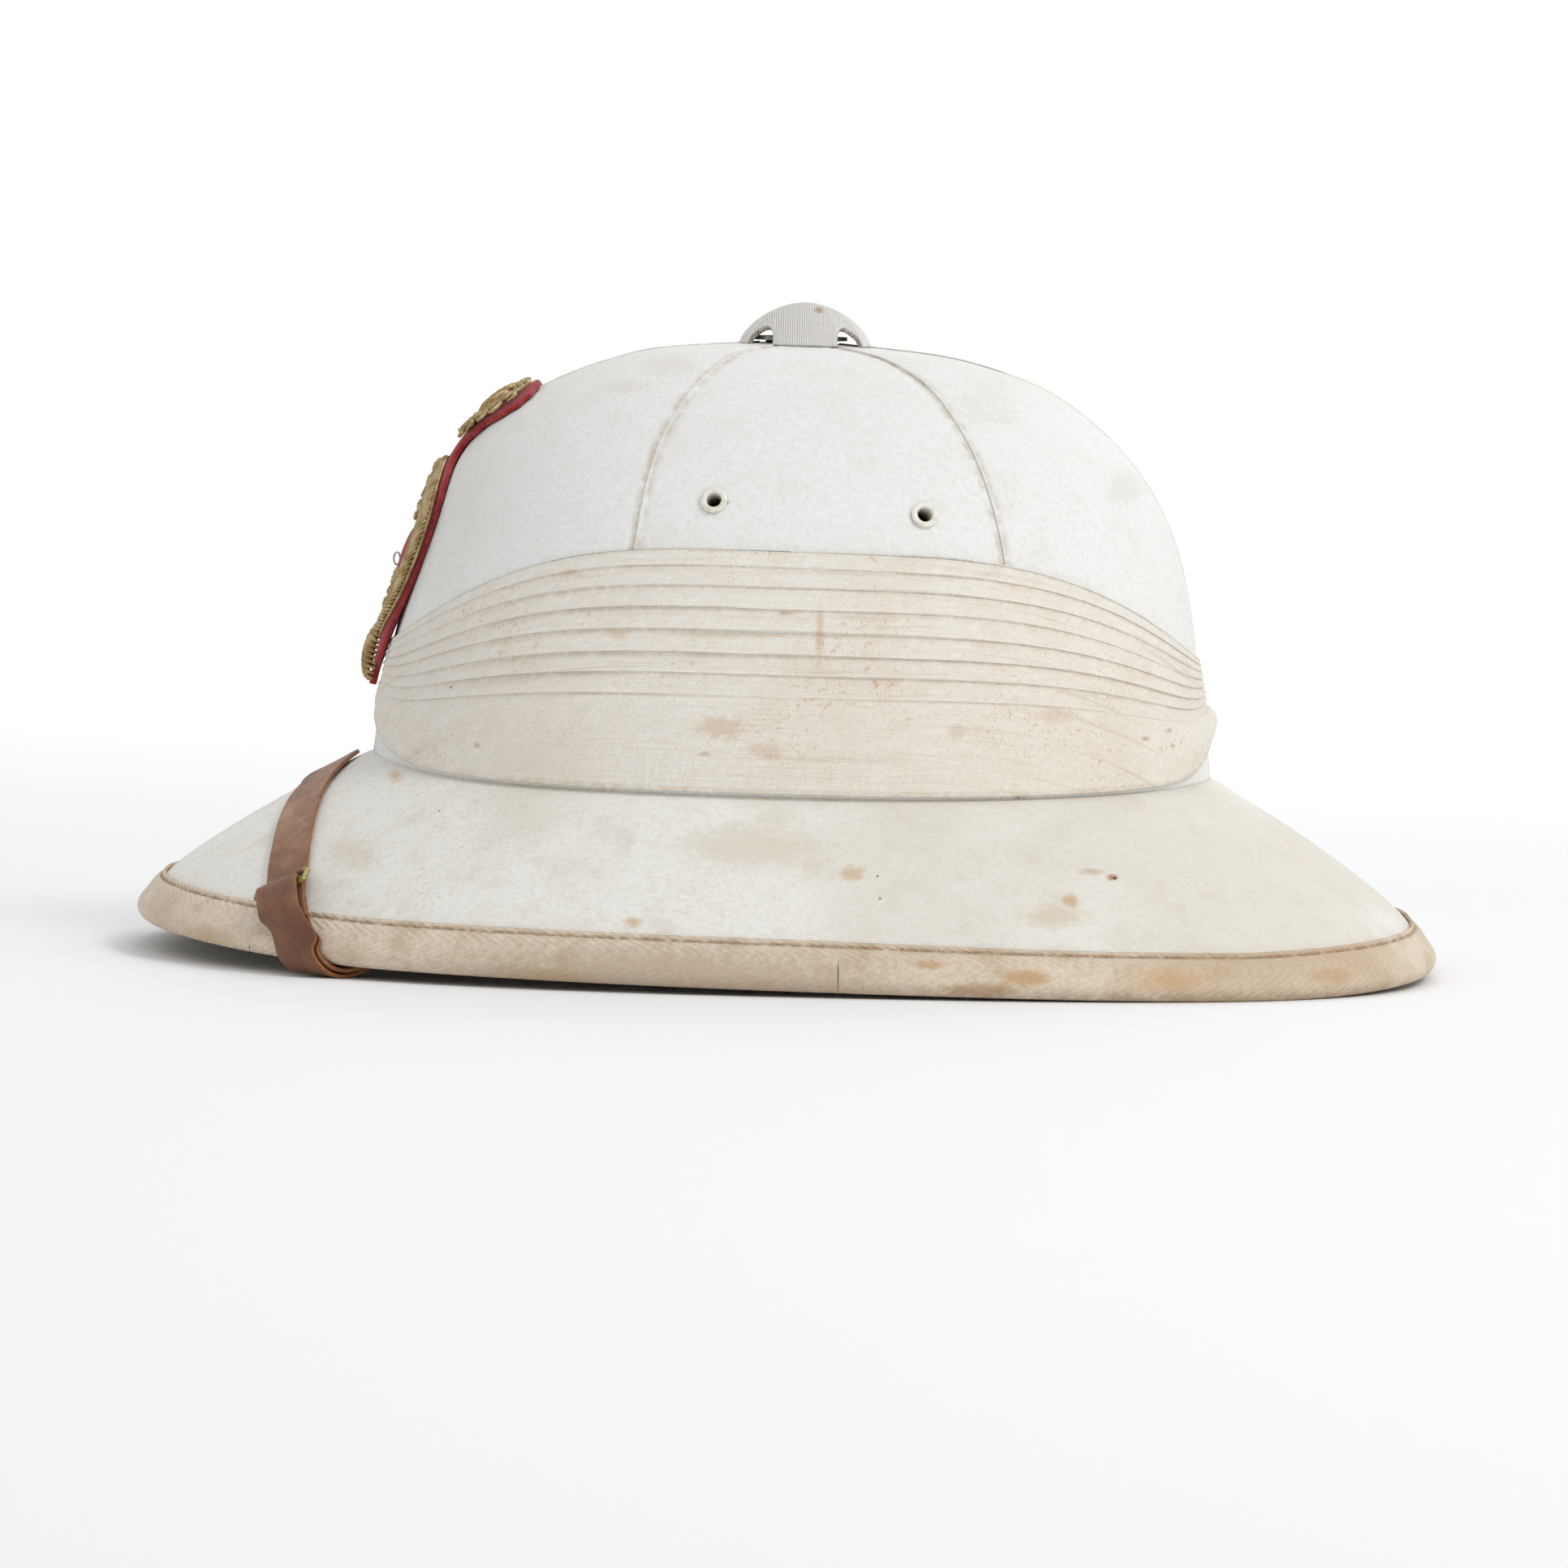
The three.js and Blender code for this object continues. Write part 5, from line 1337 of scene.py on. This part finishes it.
def strap_section():
    """The strip's cut: its face, raised a little to each side, and its rounded edges."""
    half, thick, corner = STRAP["width"] / 2, STRAP["thickness"] / 2, 0.32
    around = [(side, thick) for side in (-0.55, -0.2, 0.2, 0.55)]
    top = [(-side * half, height) for side, height in around]
    right = [(half - corner + corner * math.cos(a), thick - corner + corner * math.sin(a)) for a in ARC]
    left = [(-x, y) for x, y in reversed(right)]
    upper = right + top + left
    lower = [(-x, -y) for x, y in upper]
    return np.array(upper + lower)


def ribbon(name, places, nodes):
    """A leather strip along a row of places, with rounded cut edges."""
    points, normals, rims, creases = (np.array(rows, float) for rows in zip(*places))
    along = unit(np.concatenate([points[1:], points[-1:]]) - np.concatenate([points[:1], points[:-1]]))
    square = unit(np.cross(along, normals))
    rimward = rims * np.sign(np.sum(rims * square, axis=-1, keepdims=True))
    across = unit(square + (rimward - square) * creases[:, None])
    across = across / np.sum(across * square, axis=-1, keepdims=True)
    out = np.cross(square, along)
    at = arc_lengths(points, 0)
    stations = np.linspace(0, at[-1], int(at[-1] / 0.7))
    middle = eased(points, at)(stations)
    across = eased(across, at)(stations)
    out = unit(eased(out, at)(stations))
    section = strap_section()
    worn = 1 + 0.012 * ripple(stations / 30, 31, 30) + 0.01 * ripple(stations / 9, 33, 20)
    curl = 0.12 * (section[:, 0] / STRAP["width"] * 2) ** 2
    side = across[:, None] * (section[None, :, :1] * worn[:, None, None])
    grid = middle[:, None] + side + out[:, None] * (section[:, 1] + curl)[None, :, None]
    width_way = np.append(section[:, 0], section[0, 0])
    flat = np.stack(np.broadcast_arrays(stations[:, None], width_way[None]), axis=-1)
    edge = np.clip((np.abs(section[:, 0]) - STRAP["width"] / 2 + 0.45) / 0.4, 0, 1)
    marks = {"edge": edge[None]}
    piece = grid_piece(name, grid, flat, closed=(False, True), marks=marks, caps=True, flip=True)
    return finish_piece(piece, HIDE, "leather", *nodes)


def raised(place, height):
    point, normal, rim, crease = place
    return point + normal * height, normal, rim, crease


def make_straps():
    """The long strap, from the right post over the peak to its free end, and the short one over it."""
    right = []
    for distance, place in zip(LEFT_DISTANCE, zip(*WAY["right"])):
        slack = smooth_step(distance, RIM_DISTANCE - 20, RIM_DISTANCE - 2)
        tight = smooth_step(distance, RIM_DISTANCE + 14, RIM_DISTANCE + 34)
        right.append(raised(place, FIRST_LAYER + STRAP_PITCH * (slack - tight)))
    left = [(d, place) for d, place in zip(LEFT_DISTANCE, zip(*WAY["left"])) if 0 < d < TAIL_END]
    rows = right[::-1] + [raised(place, FIRST_LAYER) for distance, place in left]
    ribbon("strap_leather_long", rows + [place_along(TAIL_END, FIRST_LAYER)], ["strap_long"])

    fold_end = BUCKLE_BAR + STRAP["fold_back"]
    rows = []
    for step in (0, 0.5, 1):
        point, normal, rim, crease = place_along(fold_end - STRAP["fold_back"] * step, SECOND_LAYER)
        rows.append((point, -normal, rim, crease))
    point, normal, rim, crease = place_along(BUCKLE_BAR, BAR_HEIGHT)
    along = unit(place_along(BUCKLE_BAR + 1, 0)[0] - place_along(BUCKLE_BAR, 0)[0])
    for turn in np.radians((-60, -30, 0, 30, 60, 90)):
        direction = normal * math.sin(turn) - along * math.cos(turn)
        rows.append((point + direction * BUCKLE["fold_radius"], direction, rim, crease))

    def height_at(distance):
        upper = BAR_HEIGHT + BUCKLE["fold_radius"]
        height = upper + (SECOND_LAYER - upper) * smooth_step(distance, fold_end - 1, fold_end + 6)
        return height + (FIRST_LAYER - height) * smooth_step(distance, TAIL_END + 2, TAIL_END + 14)

    for distance in (BUCKLE_BAR + STRAP["fold_back"] / 2, fold_end - 1, fold_end + 2.5):
        rows.append(place_along(distance, height_at(distance)))
    for distance, place in zip(LEFT_DISTANCE, zip(*WAY["left"])):
        if distance > fold_end + 4:
            rows.append(raised(place, height_at(distance)))
    ribbon("strap_leather_short", rows, ["strap_short"])


def make_buckle():
    """A cast frame of round-edged bar. Its lower bar is in the short strap's fold."""
    span = BUCKLE["along"] - BUCKLE["bar"]
    reach = BUCKLE["across"] - BUCKLE["bar"]
    corner = BUCKLE["corner"]
    path = []
    for side_x, side_y, start in ((1, 1, 0), (-1, 1, 90), (-1, -1, 180), (1, -1, 270)):
        for turn in np.radians(np.linspace(start, start + 90, 8)):
            c, s = math.cos(turn), math.sin(turn)
            x = side_x * (reach / 2 - corner) + corner * c
            path.append((x, side_y * (span / 2 - corner) + corner * s, c, s))
    path = np.array(path)
    section = []
    for turn in np.linspace(0, 2 * math.pi, 13)[:-1]:
        c, s = math.cos(turn), math.sin(turn)
        wide = math.copysign(abs(c) ** 0.7, c) * BUCKLE["bar"] / 2
        section.append((wide, math.copysign(abs(s) ** 0.7, s) * BUCKLE["thickness"] / 2))
    section = np.array(section)
    low, normal = place_along(BUCKLE_BAR, BAR_HEIGHT)[:2]
    on_strap = FIRST_LAYER + (STRAP["thickness"] + BUCKLE["thickness"]) / 2 + CLEARANCE
    high = place_along(BUCKLE_BAR - span, on_strap)[0]
    up = unit(high - low)
    across = unit(np.cross(up, normal))
    out = np.cross(across, up)
    x = path[:, None, 0] + path[:, None, 2] * section[None, :, 0]
    y = path[:, None, 1] + path[:, None, 3] * section[None, :, 0] + span / 2
    z = np.broadcast_to(section[None, :, 1], x.shape)
    points = low + x[..., None] * across + y[..., None] * up + z[..., None] * out
    piece = grid_piece("buckle_frame", points, closed=(True, True), flip=True)
    finish_piece(piece, BRASS, "brass", "buckle")


make_straps()
make_buckle()

# Badge

FRONT_LINE = crown_surface(np.full(801, math.pi), np.linspace(0, 1, 801))
FRONT_UP = arc_lengths(FRONT_LINE, 0)
BADGE_LEVEL = (BADGE["bottom"] - seam_height(math.pi)) / (CROWN["top"] - seam_height(math.pi))
BADGE_START = float(np.interp(share_where(CROWN_LEVEL, BADGE_LEVEL), np.linspace(0, 1, 801), FRONT_UP))


def badge_point(across, up, out):
    """A point over the crown's front, given across the hat and up from the badge's lower end."""
    across, up, out = np.broadcast_arrays(*(np.asarray(rows, float) for rows in (across, up, out)))
    share = np.interp(BADGE_START + up, FRONT_UP, np.linspace(0, 1, 801))
    reach = CROWN["side"] * column(CROWN_SIDE, share)
    sine = (np.abs(across) / reach) ** (CROWN["fullness"] / 2)
    return crown_point(math.pi - np.sign(across) * np.arcsin(sine), share, out)


def felt_base(up):
    lift = column(FELT_LIFT, share_where(FELT_UP, np.asarray(up) / BADGE["height"]))
    return CLEARANCE + BAND["thickness"] * lift


def felt_half(up):
    return column(FELT_WIDE, share_where(FELT_UP, np.asarray(up) / BADGE["height"])) * BADGE["width"] / 2


def make_felt():
    ups = np.linspace(0, BADGE["height"], 121)
    sides = np.sin(np.linspace(-1, 1, 33) * math.pi / 2)
    up, side = np.meshgrid(ups, sides, indexing="ij")
    rag = 1 + 0.02 * ripple(up / 14, 91, 40) + 0.012 * ripple(up / 5, 93, 60)
    scallop = 0.06 * np.abs(np.sin(up * math.pi / 5.4)) * smooth_step(up / BADGE["height"], 0.72, 0.78)
    half = felt_half(up) * (rag + scallop - 0.03)
    round_off = 0.55 * np.abs(side) ** 12
    base = felt_base(up)
    fuzz = 0.1 * ripple(up / 3 + side * 7, 95, 12)
    top = badge_point(side * half, up, base + BADGE["felt"] * (1 - round_off) + fuzz)
    bottom = badge_point(side * half, up, base)[:, ::-1]
    points = np.concatenate([top, bottom], axis=1)
    piece = grid_piece("felt_backing", points, closed=(False, True), caps=True, flip=True)
    finish_piece(piece, FELT, "felt", "badge_felt")


def joined(name, parts, material, slot, *nodes):
    """Several meshes made one piece."""
    with bpy.context.temp_override(active_object=parts[0], selected_editable_objects=parts):
        bpy.ops.object.join()
    parts[0].name = name
    return finish_piece(parts[0], material, slot, *nodes)


def rope(name, across, up, rise, radius, twist=2.2, strands=3, sides=10):
    """A twisted rope laid on the badge along a line. rise is the height of its middle over the felt."""
    given = (np.asarray(rows, float) for rows in (across, up, rise, radius))
    across, up, rise, radius = np.broadcast_arrays(*given)
    middle = badge_point(across, up, felt_base(up) + BADGE["felt"] + rise)
    base = felt_base(up)
    normal = unit(badge_point(across, up, base + 5.0) - badge_point(across, up, base + 4.0))
    along = unit(np.gradient(middle, axis=0))
    side = unit(np.cross(along, normal))
    out = np.cross(side, along)
    way = arc_lengths(middle, 0)
    turn = np.linspace(0, 2 * math.pi, sides, endpoint=False)
    strand = np.abs(np.sin(strands / 2 * (turn[None] + way[:, None] * twist)))
    size = radius[:, None] * (0.78 + 0.3 * strand)
    points = (
        middle[:, None]
        + side[:, None] * (np.cos(turn)[None] * size)[..., None]
        + out[:, None] * (np.sin(turn)[None] * size)[..., None]
    )
    girth = np.append(turn, 2 * math.pi)[None] * float(radius.mean())
    flat = np.stack(np.broadcast_arrays(way[:, None], girth), axis=-1)
    return grid_piece(name, points, flat, closed=(False, True), caps=True, flip=True)


def taper(count, ends=0.35):
    t = np.linspace(0, 1, count)
    return np.clip(np.minimum(t, 1 - t) * 9, ends, 1)


def curl(name, across, up, size, rise, hand=1):
    """A short rope wound into a flat spiral."""
    share = np.linspace(0, 1, 30)
    turn = hand * 2.7 * math.pi * share + 1.9 * across
    reach = size * (1 - 0.72 * share)
    thick = 0.62 * taper(30, 0.6)
    x, y = across + reach * np.cos(turn), up + reach * np.sin(turn)
    return rope(name, x, y, rise + share, thick, twist=2.8, sides=8)


CORONET_CURLS = (
    (0.3, 0.765, 2.2),
    (0.44, 0.79, 2.3),
    (0.62, 0.822, 2.3),
    (0.75, 0.86, 2.4),
    (0.78, 0.9, 2.3),
    (0.7, 0.938, 2.2),
    (0.5, 0.96, 2.1),
    (0.42, 0.84, 2.4),
    (0.52, 0.9, 2.3),
)
FACE_CURLS = (
    (0.1, 0.3, 2.1),
    (0.27, 0.27, 2),
    (0.1, 0.235, 2),
    (0.28, 0.325, 1.8),
    (0.34, 0.5, 2.2),
    (0.12, 0.525, 2.3),
    (0.3, 0.565, 2.2),
    (0.1, 0.6, 2.1),
    (0.2, 0.645, 2),
)


def curls(rows, rise):
    """Curls on both halves of the badge: shares of its half width and of its height, and their sizes."""
    made = []
    for sign in (-1, 1):
        for number, (out, high, size) in enumerate(rows):
            place = sign * out * BADGE["width"] / 2, high * BADGE["height"]
            made.append(curl(f"curl_{sign}_{number}", *place, size, rise, hand=sign))
    return made


def make_branch(side_name, sign):
    """A leafy branch: two slanted rows of leaves on a spine, with a beaded edge outside."""
    share = np.linspace(0, 1, 120)
    middle = sign * column(BRANCH_OUT, share) * BADGE["width"] / 2
    up = column(BRANCH_UP, share) * BADGE["height"]
    half = column(BRANCH_WIDE, share) * BADGE["width"] / 2
    along = unit(np.stack([np.gradient(middle), np.gradient(up)], axis=-1))
    cross = np.stack([along[:, 1], -along[:, 0]], axis=-1) * sign
    parts = [rope(f"spine_{side_name}", middle, up, 1.6, 0.7 * taper(120), twist=2.6)]
    way = np.concatenate([[0], np.cumsum(np.hypot(np.diff(middle), np.diff(up)))])
    leaf = dict(twist=3.4, sides=7, strands=2)
    t = np.linspace(0, 1, 9)
    rise = 1.7 - 0.9 * t**2
    size = 0.62 * np.sin(np.clip(0.18 + 0.72 * t, 0, 1) * math.pi) ** 0.5
    for number, distance in enumerate(np.arange(1.2, way[-1] - 2.5, 1.15)):
        length = np.interp(distance, way, half) * 0.98
        reach = distance + t * length * 0.85
        spine_x, spine_y, cross_x, cross_y = (np.interp(reach, way, rows) for rows in (middle, up, *cross.T))
        for flank in (-1, 1):
            x = spine_x + flank * cross_x * length * t
            y = spine_y + flank * cross_y * length * t
            parts.append(rope(f"leaf_{side_name}_{number}_{flank}", x, y, rise, size, **leaf))
    beads = 0.42 * (0.75 + 0.35 * np.abs(np.sin(way * math.pi / 0.9))) * taper(120)
    for flank in (-1, 1):
        x = middle + flank * cross[:, 0] * (half + 0.55)
        y = up + flank * cross[:, 1] * (half + 0.55)
        parts.append(rope(f"beads_{side_name}_{flank}", x, y, 0.45, beads, twist=0, sides=7, strands=1))
    joined(f"bullion_branch_{side_name}", parts, BULLION, "bullion", f"badge_wreath_{side_name}")


def ring_line(centre_up, half_wide, half_tall, start=0.0, end=2 * math.pi, count=60):
    turn = np.linspace(start, end, count)
    return half_wide * np.cos(turn), centre_up + half_tall * np.sin(turn)


def make_knot():
    parts = []
    centre = KNOT["middle"] * BADGE["height"]
    wide, tall = KNOT["wide"] * BADGE["width"] / 2, KNOT["tall"] * BADGE["height"]
    for number, slant in enumerate(np.linspace(-1, 1, 9)):
        t = np.linspace(-1, 1, 26)
        bow = np.sqrt(np.clip(1 - t**2, 0, 1))
        y = centre + tall * (0.78 * slant + 0.25 * t)
        x = wide * t * math.sqrt(1 - 0.6 * slant**2)
        rise = -0.5 + 3.5 * bow * math.sqrt(1 - 0.55 * slant**2)
        parts.append(rope(f"turn_{number}", x, y, rise, 0.95 * taper(26, 0.5), twist=2.4, sides=9))
    t = np.linspace(0, 1, 16)
    for number, (start, lean) in enumerate(((-0.32, -0.2), (0.3, 0.2), (0.0, 0.05))):
        x, y = wide * (start + lean * t), centre - tall * (0.85 + 0.28 * t)
        parts.append(rope(f"tail_{number}", x, y, 0.5, 0.75 * taper(16, 0.6), sides=8))
    joined("bullion_knot", parts, BULLION, "bullion", "badge_knot")


def make_coronet():
    """A plain ring of rope with three low arches, set on felt."""
    parts = []
    low = (CORONET["middle"] - CORONET["tall"]) * BADGE["height"]
    tall = 2 * CORONET["tall"] * BADGE["height"]
    wide = CORONET["wide"] * BADGE["width"] / 2
    t = np.linspace(-1, 1, 60)
    for row in range(3):
        x = wide * (0.8 + 0.05 * row) * t
        y = low + 1.6 + 1.7 * row + 0.9 * (1 - t**2)
        parts.append(rope(f"band_{row}", x, y, 1.1, 0.85 * taper(60, 0.5)))
    for number, side in enumerate((-0.62, -0.2, 0.2, 0.62)):
        for inner in (1.0, 0.62):
            turn = np.linspace(0.02, math.pi - 0.02, 34)
            x = wide * (side + 0.24 * inner * np.cos(turn))
            y = low + 7.2 + tall * 0.34 * inner * np.sin(turn) * (1.15 - 0.5 * abs(side))
            parts.append(rope(f"scallop_{number}_{inner}", x, y, 1.3, 0.8 * taper(34, 0.6), twist=2.8))
    t = np.linspace(0, 1, 24)
    rise = 1.5 + 0.6 * np.sin(np.linspace(0, math.pi, 24))
    for number, side in enumerate((-0.78, -0.4, 0, 0.4, 0.78)):
        up = low + 7 + tall * (0.62 - 0.28 * side**2) * t
        x = wide * side * (1 - 0.35 * t**2)
        parts.append(rope(f"rib_{number}", x, up, rise, 0.8 * taper(24, 0.5), twist=2.8))
    x, y = ring_line(low + tall * 0.9, 1.7, 1.7)
    parts.append(rope("top_ring", x, y, 1.3, 0.75))
    for number, side in enumerate((-1, 1)):
        turn = np.linspace(0, 1.6 * math.pi, 30)
        size = 2.4 * (1 - 0.5 * np.linspace(0, 1, 30))
        x = side * (wide * 0.82 + size * np.cos(turn))
        parts.append(rope(f"tuft_{number}", x, low + 1.6 + size * np.sin(turn), 1.6, 0.8 * taper(30, 0.5)))
    parts += curls(CORONET_CURLS, 0.9)
    joined("bullion_coronet", parts, BULLION, "bullion", "badge_coronet")


def make_centre():
    """A padded oval of felt with a beaded ring round it, and a small wire loop on it."""
    up = CENTRE["middle"] * BADGE["height"]
    wide, tall = CENTRE["wide"] * BADGE["width"] / 2, CENTRE["tall"] * BADGE["height"]
    rings = np.sin(np.linspace(0.02, 1, 14) * math.pi / 2)
    turn, ring = np.meshgrid(np.linspace(0, 2 * math.pi, 49)[:-1], rings, indexing="ij")
    rise = CENTRE["relief"] * BADGE["relief"] * (0.25 + 0.75 * np.sqrt(np.clip(1 - ring**2, 0, 1)))
    height = up + tall * 0.86 * ring * np.sin(turn)
    on_felt = felt_base(height) + BADGE["felt"]
    x = wide * 0.86 * ring * np.cos(turn)
    top = badge_point(x, height, on_felt + CLEARANCE + rise)
    foot = badge_point(x[:, -1:], height[:, -1:], on_felt[:, -1:])
    points = np.concatenate([top, foot], axis=1).swapaxes(0, 1)
    dome = grid_piece("padded_oval", points, closed=(False, True), caps=True)
    finish_piece(dome, FELT, "felt", "badge_centre")
    parts = []
    rings = ((1.0, 0.9, True, 0, 1), (1.22, 0.6, False, 2.6, 3))
    for number, (swell, rise, beaded, twist, strands) in enumerate(rings):
        x, y = ring_line(up, wide * swell, tall * swell, count=110)
        way = np.concatenate([[0], np.cumsum(np.hypot(np.diff(x), np.diff(y)))])
        beads = 0.5 * (0.72 + 0.4 * np.abs(np.sin(way * math.pi / 0.95)))
        radius = beads if beaded else 0.62
        parts.append(rope(f"oval_rope_{number}", x, y, rise, radius, twist, strands, sides=8))
    parts += curls(FACE_CURLS, 1.3)
    joined("oval_ring", parts, BULLION, "bullion")
    loop_up = up - 1.9
    high = float(felt_base(loop_up)) + BADGE["felt"] + CLEARANCE + CENTRE["relief"] * BADGE["relief"] + 0.6
    centre = badge_point(0.0, loop_up, high)
    whole_turn = (np.linspace(0, 2 * math.pi, count)[:-1] for count in (33, 11))
    turn, round_way = np.meshgrid(*whole_turn, indexing="ij")
    wire, wide, tall = 0.28, 0.85, 1.65
    x = (wide + wire * np.cos(round_way)) * np.cos(turn)
    z = (tall + wire * np.cos(round_way)) * np.sin(turn)
    local = np.stack([x, wire * np.sin(round_way), z], axis=-1)
    loop = grid_piece("wire_loop", local + centre, closed=(True, True))
    finish_piece(loop, SILVER, "silver", "badge_loop")


make_felt()
make_branch("left", -1)
make_branch("right", 1)
make_knot()
make_coronet()
make_centre()

# Solids that keep their shape

for node, material in (("vent_collar", STEEL), ("strap_post_left", BRASS), ("strap_post_right", BRASS)):
    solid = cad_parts[node]
    solid.data.materials.clear()
    solid.data.materials.append(material)


# Stage, light and camera

def make_stage():
    """A pale floor that curves up into a backdrop."""
    profile = [(-6, 0), (2.5, 0)]
    for step in range(1, 11):
        turn = math.pi / 2 * step / 10
        profile.append((2.5 + 1.2 * math.sin(turn), 1.2 - 1.2 * math.cos(turn)))
    profile.append((3.7, 6))
    across = np.linspace(-6, 6, 3)
    points = np.array([[(x, y, z) for x in across] for y, z in profile]) / METRE
    floor = grid_piece("studio_floor", points, flip=True)
    material, g, surface, place, flat = new_material("studio_paper")
    shade = g.noise(place, 0.8, 2.0)
    g.feed(surface.inputs["Base Color"], g.mix(shade, (0.93, 0.93, 0.93, 1), (0.95, 0.95, 0.95, 1)))
    surface.inputs["Roughness"].default_value = 0.9
    floor.data.materials.append(material)
    floor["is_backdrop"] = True


def area_light(name, place, target, size, power):
    light = bpy.data.lights.new(name, "AREA")
    light.shape = "DISK"
    light.size = size
    light.energy = power
    lamp = bpy.data.objects.new(name, light)
    lamp.location = place
    lamp.rotation_euler = (Vector(target) - Vector(place)).to_track_quat("-Z", "Y").to_euler()
    bpy.context.scene.collection.objects.link(lamp)


def make_light():
    world = bpy.data.worlds.new("studio_air")
    world.use_nodes = True
    world.node_tree.nodes["Background"].inputs["Color"].default_value = (0.97, 0.985, 1, 1)
    world.node_tree.nodes["Background"].inputs["Strength"].default_value = 0.68
    bpy.context.scene.world = world
    bpy.context.scene.view_settings.view_transform = "Standard"
    area_light("key", (1.2, -1.1, 1.7), (0, 0, 0.08), 0.7, 14)
    area_light("fill", (1.8, -1.2, 0.9), (0, 0, 0.08), 1.2, 3)
    area_light("wall", (0, 1.8, 2.2), (0, 3.7, 0.9), 2, 22)
    area_light("back", (0.4, 1.6, 1.6), (0, 0, 0.1), 1.2, 8)


def make_camera():
    """The photograph's view: a long lens at the hat's own height, from its left, tilted slightly."""
    distance, height, picture = 2600, 204.6, 1932
    focal, horizon, roll = 12012, 221.4, 1.7 * DEGREE
    eye = stand(np.array(-1.4), -float(distance), height)
    down = math.atan((picture / 2 - horizon) / focal)
    lens = bpy.data.cameras.new("camera")
    lens.sensor_width = 36
    lens.lens = 36 * focal / math.cos(down) / picture
    lens.clip_start, lens.clip_end = 0.1, 100
    camera = bpy.data.objects.new("camera", lens)
    turn = Matrix.Rotation(math.pi / 2 - down, 4, "X") @ Matrix.Rotation(roll - LEAN, 4, "Z")
    camera.matrix_world = Matrix.Translation(Vector(eye) * METRE) @ turn
    bpy.context.scene.collection.objects.link(camera)
    bpy.context.scene.camera = camera


make_stage()
make_light()
make_camera()

boxes = {"cad": cad_box, "visual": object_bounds()}
{name: [list(corner) for corner in box] for name, box in boxes.items()}
